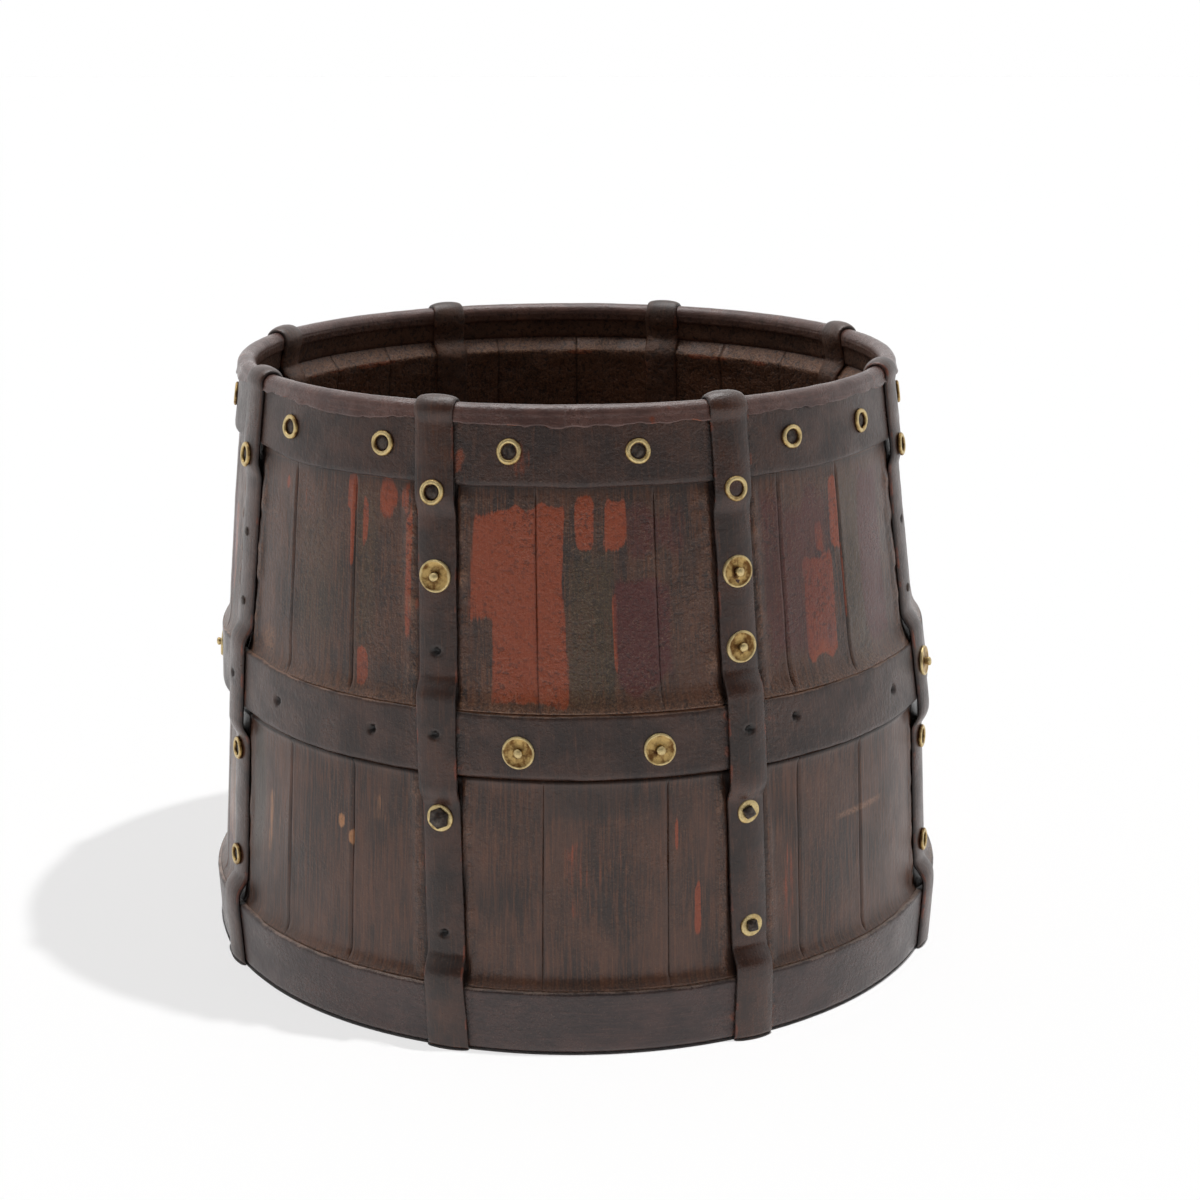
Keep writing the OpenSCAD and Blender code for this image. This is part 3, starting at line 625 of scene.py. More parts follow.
def stave_front(turn, z, seam_gap, number):
    """Radius of a stave's outside and its layers: the bowed wall, lacquer drawn up to the hoops and
    straps in fillets, a crumbled bead along each strap, seams, and the waver of hand work."""
    space = round_space(turn, z)
    gap, side = strap_gap(turn, z)
    slow = lumps(space, 26, 3, 2)
    small = lumps(space, 4.2, 5, 2)
    tiny = lumps(space, 2.2, 8, 2)
    upper = ramp(z, 121, 124) * (1 - ramp(z, 190, 195))
    lower = ramp(z, 24, 27) * (1 - ramp(z, 93, 97))
    r = wall(z) + 0.16 * slow
    over = np.where(z > 120.5, z - 120.5, 99)
    drawn = 2.45 * np.exp(-((over / (3.6 + 1.2 * slow)) ** 1.3))
    heel = np.where(z > 23.5, z - 23.5, 99)
    drawn = drawn + 2.5 * np.exp(-((heel / (2.0 + 0.7 * slow)) ** 1.2))
    under = np.where(z < 97, 97 - z, 99)
    drawn = drawn + 0.9 * np.exp(-under / 1.2)
    r = r + drawn
    bead_w = np.where(upper > 0.3, 4.6, 3.4) + 1.6 * slow + np.where(side < 0, 1.2, 0)
    bead = ramp(gap, 0.25, 1.1) * (1 - ramp(gap, bead_w - 1.6, bead_w + 0.6)) * (upper + 0.75 * lower)
    r = r + bead * (0.62 + 0.55 * small) - 0.35 * (1 - ramp(gap, 0.3, 1.0)) * ramp(gap, -1.5, 0)
    crumb = np.clip(bead * 1.0 + np.exp(-over / 4.5) * 0.9 + np.exp(-heel / 2.5) * 0.6, 0, 1)
    pebbled = ramp(lumps(space, (14, 14, 24), 31 + number, 2), -0.25, 0.35)
    crumb = np.maximum(crumb, upper * (0.3 + 0.4 * pebbled))
    crumb = np.maximum(crumb, lower * 0.22 * pebbled)
    r = r + crumb * 0.16 * tiny + crumb * 0.12 * small
    groove = np.exp(-((seam_gap / 0.55) ** 2)) * (0.34 + 0.3 * lumps(space, (9, 9, 16), 12, 1))
    ridge = np.exp(-(((seam_gap - 1.2) / 0.7) ** 2)) * 0.16
    shown = upper + lower
    r = r - shown * np.clip(groove, 0, 1) + shown * ridge
    r = r - 0.05 * ramp(seam_gap, 2, 14)
    paint, skin = coat(turn.shape)
    wash_layers(turn, z, paint, skin)
    near_strap = np.exp(-np.clip(gap - 0.8, 0, 99) / 2.4) * (upper + lower)
    paint[..., 0] = np.maximum(paint[..., 0], 0.5 * near_strap * ramp(small, -0.2, 0.6))
    skin[..., 0] = np.maximum(skin[..., 0], crumb)
    dust_and_highlight = 0.55 * np.exp(-over / 3.2) + 0.35 * np.exp(-heel / 1.6) + 0.5 * bead * ramp(small, 0.0, 0.7)
    skin[..., 1] = np.maximum(skin[..., 1], np.clip(dust_and_highlight, 0, 1))
    # Darker: dirt in the seams, and painted shade along the straps' edges and in the shadow under the middle and top
    # hoops.
    gap_dirt_and_shade = (1 - ramp(gap, 0.1, 0.9)) * 0.95 + np.exp(-((seam_gap / 0.35) ** 2)) * 0.45 * shown
    gap_dirt_and_shade = gap_dirt_and_shade + 0.85 * np.exp(-under / 1.0) + 0.75 * np.exp(-np.where(z < 195, 195 - z, 99) / 1.4)
    skin[..., 2] = np.maximum(skin[..., 2], np.clip(gap_dirt_and_shade, 0, 1))
    skin[..., 3] = np.clip(0.5 + 0.5 * slow + 0.5 * np.exp(-over / 5), 0, 1)
    return r, paint, skin


def stave_back(turn, z, seam_gap, number):
    """Radius of a stave's inside and its layers: full thickness up to the lip, a slope, then the thin
    tongue; the groove for the board below; rough and dusty towards the top."""
    space = round_space(turn, z, 118.0)
    thick = np.interp(z, [0, 7.96, 7.99, 16.96, 16.99, LIP, SHOULDER, 220],
                      [7.5, 7.5, 4.5, 4.5, 7.5, 7.5, TONGUE_T, TONGUE_T])
    r = wall(z) - thick
    small = lumps(space, 4.5, 41, 2)
    slow = lumps(space, 17, 43, 2)
    free = ramp(z, 18, 22) * (1 - ramp(z, 206, 208))
    rough = ramp(z, 120, 195)
    slope = ramp(z, 201, 203) * (1 - ramp(z, 206.5, 208))
    r = r - free * ((0.15 + 0.35 * rough) * slow + 0.35 * rough * small) + slope * 0.3
    r = r + free * 0.4 * np.exp(-((seam_gap / 0.7) ** 2))
    paint, skin = coat(turn.shape)
    skin[..., 0] = np.clip(0.35 + 0.6 * rough, 0, 1)
    edge = np.exp(-(((z - LIP + 1.0) / 1.3) ** 2)) * ramp(slow, -0.3, 0.4)
    paint[..., 0] = edge * 0.9
    skin[..., 1] = np.clip(0.25 + 0.3 * rough + 0.75 * slope, 0, 1) * (0.7 + 0.3 * small)
    skin[..., 2] = 0.55 * np.exp(-((seam_gap / 0.6) ** 2)) + 0.25 * (1 - rough)
    return r, paint, skin


def make_staves():
    """24 staves of uneven width, each from seam to seam."""
    rows = stave_rows()
    for bay in range(BAYS):
        for j in range(3):
            number = bay * 3 + j + 1
            start, end = (FIRST + BAY * (bay + SEAM_SHARES[bay][i]) + SEAM_TURN for i in (j, j + 1))
            width = math.radians(end - start) * 130
            inner = np.linspace(1.5, width - 1.5, max(4, int(width / 1.35)))
            across = np.concatenate([[0, 0.3, 0.65, 1.05], inner, [width - 1.05, width - 0.65, width - 0.3, width]])
            turn = start + 0.012 + (end - start - 0.024) * across / width
            turn, z = np.meshgrid(turn, rows)
            seam_gap = np.minimum(across, width - across)[None] + 0 * z
            front, paint_a, skin_a = stave_front(turn, z, seam_gap, number)
            back, paint_b, skin_b = stave_back(turn, z, seam_gap, number)
            arc = np.radians(turn) * 130
            layers = {"lie": (lie(arc, z), lie(arc, z, 9)), "paint": (paint_a, paint_b), "skin": (skin_a, skin_b)}
            name = "stave_%02d" % number
            piece = slab("lacquered_" + name, place(turn, z, front), place(turn, z, back), layers)
            finish(piece, wood, [name])


# Hoops
def pits_at(turn, z, fixings, kinds="h"):
    """Depth share of the holes that have lost their nails, and of the dark round them."""
    deep = np.zeros(np.broadcast(turn, z).shape)
    ring = np.zeros_like(deep)
    for kind, at, height, r, k in fixings:
        if kind in kinds:
            away = np.hypot(np.radians(apart(turn, at)) * r, z - height)
            deep = np.maximum(deep, 1 - ramp(away, 0.7, 1.7))
            ring = np.maximum(ring, 1 - ramp(away, 1.2, 2.6))
    return deep, ring


def make_hoop(name, low, high, thick, low_edge, high_edge, material, node, seed, columns=820):
    """A strip round the tub: its face stands thick off the wall, its edges roll in and waver."""
    across = np.concatenate([[0, 0.02, 0.05, 0.09, 0.14], np.linspace(0.2, 0.8, 15), [0.86, 0.91, 0.95, 0.98, 1]])
    turn, share = np.meshgrid(np.arange(columns) * 360 / columns - 180, across)
    edge = round_space(turn, 0 * turn)
    low_z = low + low_edge(turn) + 0.35 * lumps(edge, 15, seed) + 0.2 * lumps(edge, 5, seed + 1)
    high_z = high + high_edge(turn) + 0.3 * lumps(edge, 17, seed + 2) + 0.25 * lumps(edge, 5, seed + 3, 2)
    if low == 0:
        low_z = low_z * 0
    if high == STAVE_TOP:
        high_z = high_z * 0 + high
    z = low_z + (high_z - low_z) * share
    space = round_space(turn, z)
    slow, small = lumps(space, 22, seed + 5, 2), lumps(space, 4, seed + 6, 2)
    from_low, from_high = z - low_z, high_z - z
    roll_low = np.sqrt(np.clip(1 - (1 - np.clip(from_low / (1.9 if low else 2.2), 0, 1)) ** 2, 0, 1))
    roll_high = np.sqrt(np.clip(1 - (1 - np.clip(from_high / 0.9, 0, 1)) ** 2, 0, 1))
    if high == STAVE_TOP:
        roll_high = roll_high * 0 + 1
    body = thick * (0.25 + 0.75 * roll_low) * (0.45 + 0.55 * roll_high)
    deep, ring = pits_at(turn, z, all_fixings)
    gap, side = strap_gap(turn, z)
    out = body + 0.13 * slow + 0.06 * small
    out = np.clip(out, 0.2, thick) - deep * (thick - 0.5)
    front = wall(z) + out
    back = wall(z) + 0.02
    paint, skin = coat(turn.shape)
    near = np.exp(-np.clip(gap, 0, 99) / 3.0)
    paint[..., 0] = np.clip(0.75 * near * ramp(small, -0.3, 0.5) + 0.5 * ramp(slow, 0.25, 0.8), 0, 1)
    # Pale line along the upper edge: rubbed wear and a painted highlight.
    paint[..., 3] = np.clip(np.exp(-from_high / 0.7) * (0.9 + 0.4 * small), 0, 1)
    skin[..., 0] = np.clip(0.3 + 0.25 * slow + 0.7 * near, 0, 1)
    skin[..., 1] = 0.3 * near * ramp(small, 0, 0.7)
    # Darker: painted shade in the empty nail holes, where the straps cross and at the rolled lower edge, and a darker
    # ring round each hole.
    skin[..., 2] = np.clip(deep * 1.4 + 0.35 * ring + 0.8 * (1 - ramp(gap, 0.0, 0.8)) + 0.6 * np.exp(-from_low / 0.8), 0, 1)
    skin[..., 3] = np.clip(0.4 + 0.6 * slow, 0, 1)
    arc = np.radians(turn) * 130
    blank = coat(turn.shape)
    layers = {"lie": (lie(arc, z), lie(arc, z, 5)), "paint": (paint, blank[0]), "skin": (skin, blank[1])}
    piece = slab(name, place(turn, z, front), place(turn, z, back), layers, True)
    finish(piece, material, [node])


def flat_edge(turn):
    return 0 * turn


def middle_low_edge(turn):
    """The middle hoop's lower edge climbs towards the strap at the left."""
    return 0.8 + 1.6 * np.exp(-((apart(turn, -62) / 14.0) ** 2))


def middle_high_edge(turn):
    return 1.8 * np.exp(-((apart(turn, -62) / 13.0) ** 2)) - 0.3 * np.exp(-((apart(turn, 5) / 25.0) ** 2))


def top_low_edge(turn):
    return 0.1 + 2.6 * np.exp(-((apart(turn, -63) / 10.0) ** 2)) + 0.7 * np.exp(-((apart(turn, 60) / 12.0) ** 2))


def heel_high_edge(turn):
    return 1.2 * np.exp(-((apart(turn, -62) / 9.0) ** 2)) + 0.8 * np.exp(-((apart(turn, 62) / 12.0) ** 2)) - 0.2


def make_hoops():
    """The heel, middle and top hoops."""
    make_hoop("heel_hoop", 0, HEEL_TOP, HEEL_T, flat_edge, heel_high_edge, heel_hide, "bottom_hoop", 60)
    make_hoop("waist_hoop", MIDDLE_LOW, MIDDLE_TOP, MIDDLE_T, middle_low_edge, middle_high_edge,
              hoop_hide, "middle_hoop", 70)
    make_hoop("mouth_hoop", TOP_LOW, STAVE_TOP, TOP_T, top_low_edge, flat_edge, hoop_hide, "top_hoop", 80)


# Rim
def make_lining():
    """Rough strip inside the mouth: lumpy face towards the middle, flat back on the tongue."""
    turn, z = np.meshgrid(np.arange(560) * 360 / 560, np.linspace(SHOULDER, 219.9, 15))
    space = round_space(turn, z, 118.0)
    slow, small = lumps(space, 14, 91, 2), lumps(space, 4, 92, 3)
    edge = ramp(z, SHOULDER, SHOULDER + 1.2)
    front = wall(z) - TONGUE_T - 0.25 - edge * np.clip(0.6 + 0.35 * slow + 0.35 * small, 0.1, 1.3)
    back = wall(z) - TONGUE_T - 0.02
    paint, skin = coat(turn.shape, skin=(0.85, 0.5, 0, 0))
    skin[..., 1] = np.clip(0.45 + 0.4 * slow - 0.3 * ramp(z, 212, 218), 0, 1)
    paint[..., 0] = 0.5 * ramp(slow, 0.2, 0.7) * ramp(z, 210, 216)
    skin[..., 2] = 0.5 * ramp(-small, 0.35, 0.8)
    arc = np.radians(turn) * 118
    layers = {"lie": (lie(arc, z), lie(arc, z, 5)), "paint": (paint, paint * 0), "skin": (skin, skin * 0)}
    piece = slab("mouth_lining", place(turn, z, front), place(turn, z, back), layers, True)
    finish(piece, lining_hide, ["rim_lining"])


def make_binding():
    """Rolled hide over the rim: outside skirt, half round top, inside skirt; the outer edge is torn
    and curls away, and the roll is cut at the strap on the left."""
    steps = np.concatenate([np.linspace(0, 0.22, 7), np.linspace(0.26, 0.78, 22), np.linspace(0.83, 1, 5)])
    turn, share = np.meshgrid(np.arange(860) * 360 / 860, steps)
    ring = round_space(turn, 0 * turn)
    ragged = 0.9 * lumps(ring, 9, 101, 2) + 0.8 * lumps(ring, 3.0, 103, 2)
    skirt = 2.2 + 0.6 * lumps(ring, 30, 104) + 1.1 * ramp(np.abs(apart(turn, -38)), 16, 3) + ragged
    skirt = np.clip(skirt + 1.0 * ramp(np.abs(apart(turn, -2)), 14, 4), 0.5, 3.9)
    middle_r = wall(ROLL_Z) + (TOP_T - RIM_IN) / 2
    around = np.pi * (share - 0.22) / (0.78 - 0.22)
    outer = share < 0.22
    inner = share > 0.78
    down = np.where(outer, (0.22 - share) / 0.22 * skirt, np.where(inner, (share - 0.78) / 0.22 * 3.4, 0))
    around = np.clip(around, 0, np.pi)
    space = round_space(turn, share * 14.0)
    slow, small = lumps(space, 13, 105, 2), lumps(space, 4, 106, 2)
    fat = ROLL_R + 0.12 * slow + 0.07 * small
    tear = ramp(down, 0.4, 2.6) * outer * np.clip(0.35 + 0.6 * lumps(ring, 7, 107, 2), -0.1, 1.2)
    cut = 1 - np.exp(-((apart(turn, -60.2) / 0.42) ** 4))
    top = np.sin(around)
    r = middle_r + np.cos(around) * fat + np.where(outer, tear, 0) + (wall(ROLL_Z - down) - wall(ROLL_Z))
    z = ROLL_Z + top * (fat - 0.05) - down
    z = np.minimum(z - (1 - cut) * top * 2.2, 222.1)
    thin = 0.82
    back_r = middle_r + np.cos(around) * (fat - thin) + np.where(outer, tear * 0.8, 0) + (wall(ROLL_Z - down) - wall(ROLL_Z))
    back_z = ROLL_Z + top * (fat - thin) - down - (1 - cut) * top * 2.0
    paint, skin = coat(turn.shape)
    lip_edge = np.exp(-((skirt - down) / 0.5)) * outer
    paint[..., 3] = np.clip(0.55 * ramp(slow, 0.1, 0.7) + 0.6 * lip_edge * ramp(small, 0, 0.6), 0, 1)
    paint[..., 0] = np.clip(0.8 * ramp(apart(turn, 14), -8, 2) * ramp(-apart(turn, 14), -8, 2) * ramp(small, -0.4, 0.4), 0, 1)
    skin[..., 0] = np.clip(0.25 + 0.2 * slow + 0.5 * inner, 0, 1)
    skin[..., 1] = 0.45 * ramp(share, 0.6, 0.9)
    skin[..., 2] = np.clip(1 - cut, 0, 1)
    skin[..., 3] = np.clip(0.5 + 0.5 * slow, 0, 1) * (1 - inner)
    arc = np.radians(turn) * 121
    layers = {"lie": (lie(arc, share * 16), lie(arc, share * 16, 4)), "paint": (paint, paint * 0),
              "skin": (skin, skin * 0 + np.array([0, 0, 0.8, 0]))}
    piece = slab("rolled_binding", place(turn, z, r), place(turn, back_z, back_r), layers, True)
    finish(piece, binding_hide, ["rim_binding"])


# Straps
def strap_line():
    """Underside of a strap as points of radius and height: up over the hoops, half round over the
    rim, down inside; evenly spaced and smoothed. Also the height that its turn is read at."""
    up_z = np.linspace(0, 216.5, 800)
    up = np.stack([wall(up_z) + rise(up_z) + 0.05, up_z], -1)
    middle_r = wall(ROLL_Z) + (TOP_T - RIM_IN) / 2
    a = np.linspace(0, np.pi, 40)
    over = np.stack([middle_r + (ROLL_R + 0.1) * np.cos(a), ROLL_Z + (ROLL_R + 0.1) * np.sin(a)], -1)
    down_z = np.linspace(216.5, 29, 700)
    thick = np.interp(down_z, [LIP, SHOULDER, 212, 216], [STAVE_T, RIM_IN, RIM_IN, RIM_IN + BINDING_T])
    down = np.stack([wall(down_z) - thick - 0.05, down_z], -1)
    line = np.concatenate([up, over, down])
    length = np.concatenate([[0], np.cumsum(np.hypot(*np.diff(line, axis=0).T))])
    s = np.arange(0, length[-1], 0.72)
    line = np.stack([np.interp(s, length, line[:, i]) for i in range(2)], -1)
    kernel = np.ones(5) / 5
    soft = np.stack([np.convolve(np.pad(line[:, i], 2, mode="edge"), kernel, "valid") for i in range(2)], -1)
    soft[0], soft[-1] = line[0], line[-1]
    return soft, s


def make_straps():
    """Eight strips: the section is flat below, rounded on top, with soft corners; carried along the
    strap's line. Outside it is smooth and streaked, inside rough and dusty."""
    line, s = strap_line()
    along = np.gradient(line, axis=0)
    along /= np.hypot(*along.T)[:, None]
    normal = np.stack([along[:, 1], -along[:, 0]], -1)
    over_top = int(np.argmax(line[:, 1]))
    inside = ramp(np.arange(len(s)), over_top + 2, over_top + 12)
    section = np.array([-1, -0.985, -0.955, -0.9, -0.82, -0.7, -0.56, -0.42, -0.28, -0.14, 0])
    section = np.concatenate([section, -section[-2::-1]])
    lift = np.clip(1 - np.abs(section) ** 2, 0, 1) ** 0.32
    for k in range(BAYS):
        flat_s, w = np.meshgrid(s, section, indexing="ij")
        strip = np.stack([w * 7 + 40 * k, flat_s, np.full_like(w, 100.0 * k)], -1)
        slow, small = lumps(strip, 18, 120 + k, 2), lumps(strip, 4, 130 + k, 2)
        edges = lumps(strip * np.array([0, 1, 1]) + np.sign(w)[..., None] * 50, 13, 140 + k, 2)
        half = STRAP_W / 2 * (1 + 0.045 * edges) - 0.15
        z0 = line[:, 1][:, None] + 0 * w
        fat = 2.25 if k != 1 else 2.45
        crown = 0.25 if k != 1 else 0.5
        front_h = fat * (0.3 + 0.7 * lift[None]) - 0.25 + crown * (1 - w ** 2) + 0.12 * slow + 0.05 * small
        rough_in = inside[:, None]
        front_h = front_h + rough_in * (0.25 * small + 0.3 * slow - 0.3 * (1 - lift[None]))
        turn0 = strap_turn(k, np.clip(line[:, 1], 0, 219))[:, None] + 0 * w
        flare = 1 + 0.05 * (1 - ramp(z0, 5, 40)) + 0.06 * rough_in
        away = np.degrees(w * half * flare / wall(np.clip(z0, 0, 219)))
        fixings = [f for f in strap_fixings if f[4] == k]
        outside = (1 - rough_in) > 0.5
        deep, ring = pits_at(turn0 + away, np.where(outside, z0, -99), fixings)
        front_h = np.clip(front_h, 0.25, STRAP_T + 0.35) - deep * 1.7
        foot = ramp(flat_s, 0, 1.6)
        front_h = front_h * (0.35 + 0.65 * np.sqrt(foot))
        front_r = line[:, 0][:, None] + normal[:, 0][:, None] * front_h
        front_z = np.clip(line[:, 1][:, None] + normal[:, 1][:, None] * front_h, 0, 224.4)
        back_r = line[:, 0][:, None] + 0 * w
        back_z = line[:, 1][:, None] + 0 * w
        paint, skin = coat(w.shape)
        edge = ramp(np.abs(w), 0.72, 0.97)
        paint[..., 0] = np.clip(0.55 * edge * ramp(small, -0.3, 0.4) + 0.4 * ramp(slow, 0.2, 0.7), 0, 1)
        paint[..., 3] = np.clip(0.45 * edge * ramp(slow, -0.1, 0.6), 0, 1) * (1 - 0.6 * rough_in)
        skin[..., 0] = np.clip(0.12 + 0.2 * slow + 0.75 * rough_in + 0.25 * edge, 0, 1)
        skin[..., 1] = np.clip(0.6 * rough_in * (0.8 + 0.4 * small), 0, 1)
        # Darker: painted shade in the empty nail holes, a darker ring round each hole, and darker outermost edges.
        skin[..., 2] = np.clip(deep * 1.5 + 0.35 * ring + 0.75 * ramp(np.abs(w), 0.965, 1.0) * (1 - rough_in), 0, 1)
        skin[..., 3] = np.clip((0.9 if k == 1 else 0.5) + 0.4 * slow, 0, 1) * (1 - rough_in)
        layers = {"lie": (lie(w * 7, flat_s, 30 * k), lie(w * 7, flat_s, 30 * k + 9)), "paint": (paint, paint * 0),
                  "skin": (skin, skin * 0 + np.array([0, 0, 0.8, 0]))}
        front = place(turn0 + away, front_z, front_r)
        back = place(turn0 + away * 0.985, back_z, back_r)
        piece = slab("hide_strap_%d" % (k + 1), front, back, layers)
        finish(piece, strap_hide, ["strap_%d" % (k + 1)])


# Fasteners
def face_frame(fixing, tip=0.0, swing=0.0):
    """Origin and three axes of the face that a fastener sits on: across, up the wall, and out."""
    kind, turn, z, r, k = fixing
    a, tilt = math.radians(turn), math.radians(float(wall_tilt(np.float64(z))) + tip)
    out = np.array([math.sin(a + swing) * math.cos(tilt), -math.cos(a + swing) * math.cos(tilt), math.sin(tilt)])
    across = np.array([math.cos(a + swing), math.sin(a + swing), 0.0])
    up = np.cross(out, across)
    return place(turn, z, r), np.stack([across, up, out])


def turned(name, fixings, profile, closed, material, node, layers_of, outline=None, segments=36,
           tip=0.0, out_of_round=0.0, bend=0.0):
    """One mesh of many turned shapes. The profile of radius and height goes round each fastener's
    axis; closed joins its ends into a ring, otherwise both ends meet the axis in a pole. outline is
    a factor on the radius for square or six-sided heads."""
    profile = np.array(profile, float)
    rows = len(profile)
    angle = np.arange(segments) * 2 * np.pi / segments
    draw = np.random.default_rng(len(name) * 7 + rows)
    all_points, all_quads, all_tris, paints, skins, lies = [], [], [], [], [], []
    start = 0
    for fixing in fixings:
        lean_t, lean_s = draw.normal(0, tip, 2) if tip else (0.0, 0.0)
        origin, axes = face_frame(fixing, lean_t, math.radians(lean_s))
        wobble = 1 + out_of_round * (draw.uniform(-1, 1) * np.cos(2 * angle + draw.uniform(0, 6)) +
                                     0.5 * draw.uniform(-1, 1) * np.cos(3 * angle + draw.uniform(0, 6)))
        spin = draw.uniform(0, 2 * np.pi) if outline is None else draw.uniform(-0.5, 0.5)
        factor = wobble if outline is None else wobble * outline(angle)
        radius = profile[:, 0][:, None] * factor[None]
        height = np.repeat(profile[:, 1][:, None], segments, 1)
        height = height + out_of_round * 1.2 * draw.uniform(-1, 1, (1, 1)) * np.cos(angle + spin)[None] * profile[:, 0][:, None] * 0.15
        x, y = radius * np.cos(angle + spin)[None], radius * np.sin(angle + spin)[None]
        push = bend * draw.uniform(-1, 1, 2)
        lift = np.clip(height, 0, None) ** 2 * 0.08
        x, y = x + push[0] * lift, y + push[1] * lift
        local = np.stack([x, y, height], -1)
        paint, skin = layers_of(radius, height, lumps(np.stack([x, y, height + start], -1), 2.0, 7, 2))
        grid = origin + (local @ axes) * 0.001
        if closed:
            index = np.arange(rows * segments).reshape(rows, segments)
            index = np.concatenate([index, index[:1]])
            pts = grid.reshape(-1, 3)
        else:
            pts = np.concatenate([grid[1:-1].reshape(-1, 3), grid[0, :1], grid[-1, :1]])
            index = np.arange((rows - 2) * segments).reshape(rows - 2, segments)
            paint = np.concatenate([paint[1:-1].reshape(-1, 4), paint[0, :1], paint[-1, :1]])
            skin = np.concatenate([skin[1:-1].reshape(-1, 4), skin[0, :1], skin[-1, :1]])
            n = (rows - 2) * segments
            first, last = index[0], index[-1]
            all_tris.append(np.stack([np.full(segments, n), np.roll(first, -1), first], -1) + start)
            all_tris.append(np.stack([np.full(segments, n + 1), last, np.roll(last, -1)], -1) + start)
        nxt = np.roll(index, -1, axis=1)
        all_quads.append(np.stack([index[:-1], nxt[:-1], nxt[1:], index[1:]], -1).reshape(-1, 4) + start)
        all_points.append(pts)
        paints.append(paint.reshape(-1, 4))
        skins.append(skin.reshape(-1, 4))
        start += len(pts)
    points = np.concatenate(all_points)
    quads = np.concatenate(all_quads)
    tris = np.concatenate(all_tris) if all_tris else None
    a, b, c = (points[quads[:, i]] for i in range(3))
    centre = points[: len(all_points[0])].mean(0)
    volume = np.einsum("ij,ij->i", np.cross(a - centre, b - centre), c - centre)[: len(all_quads[0])].sum()
    if volume < 0:
        quads = quads[:, ::-1]
        tris = tris[:, ::-1] if tris is not None else None
    layers = {"lie": points * 1.0, "paint": np.concatenate(paints), "skin": np.concatenate(skins)}
    piece = make_piece(name, points, quads, layers, tris)
    finish(piece, material, [node])


def of_kind(kinds):
    return [f for f in all_fixings if f[0] in kinds]


def rubbed(radius, height, noise):
    """Bright where a fastener stands highest, dark low down."""
    paint, skin = coat(radius.shape)
    top = (height - height.min()) / max(1e-6, height.max() - height.min())
    paint[..., 3] = np.clip(ramp(top, 0.55, 1.0) * (0.75 + 0.5 * noise), 0, 1)
    skin[..., 2] = np.clip(1 - top + 0.3 * noise, 0, 1) * 0.8
    return paint, skin


def dished(radius, height, noise):
    """A rove: bright raised edge, brown in the dish and dark round the pin."""
    paint, skin = coat(radius.shape)
    paint[..., 3] = np.clip(ramp(radius, 4.4, 5.2) * (0.8 + 0.5 * noise) + 0.25 * ramp(noise, 0.1, 0.6), 0, 1)
    skin[..., 2] = np.clip((1 - ramp(radius, 1.6, 3.0)) * 0.9 + 0.45 * ramp(-noise, 0.1, 0.6), 0, 1)
    return paint, skin


def superellipse(sides, power):
    """Radius factor of a rounded polygon with that many sides, 1 at the middle of a side."""
    def factor(angle):
        inside = np.abs((angle + np.pi / sides) % (2 * np.pi / sides) - np.pi / sides)
        return 1 / (np.cos(inside) ** power)
    return factor


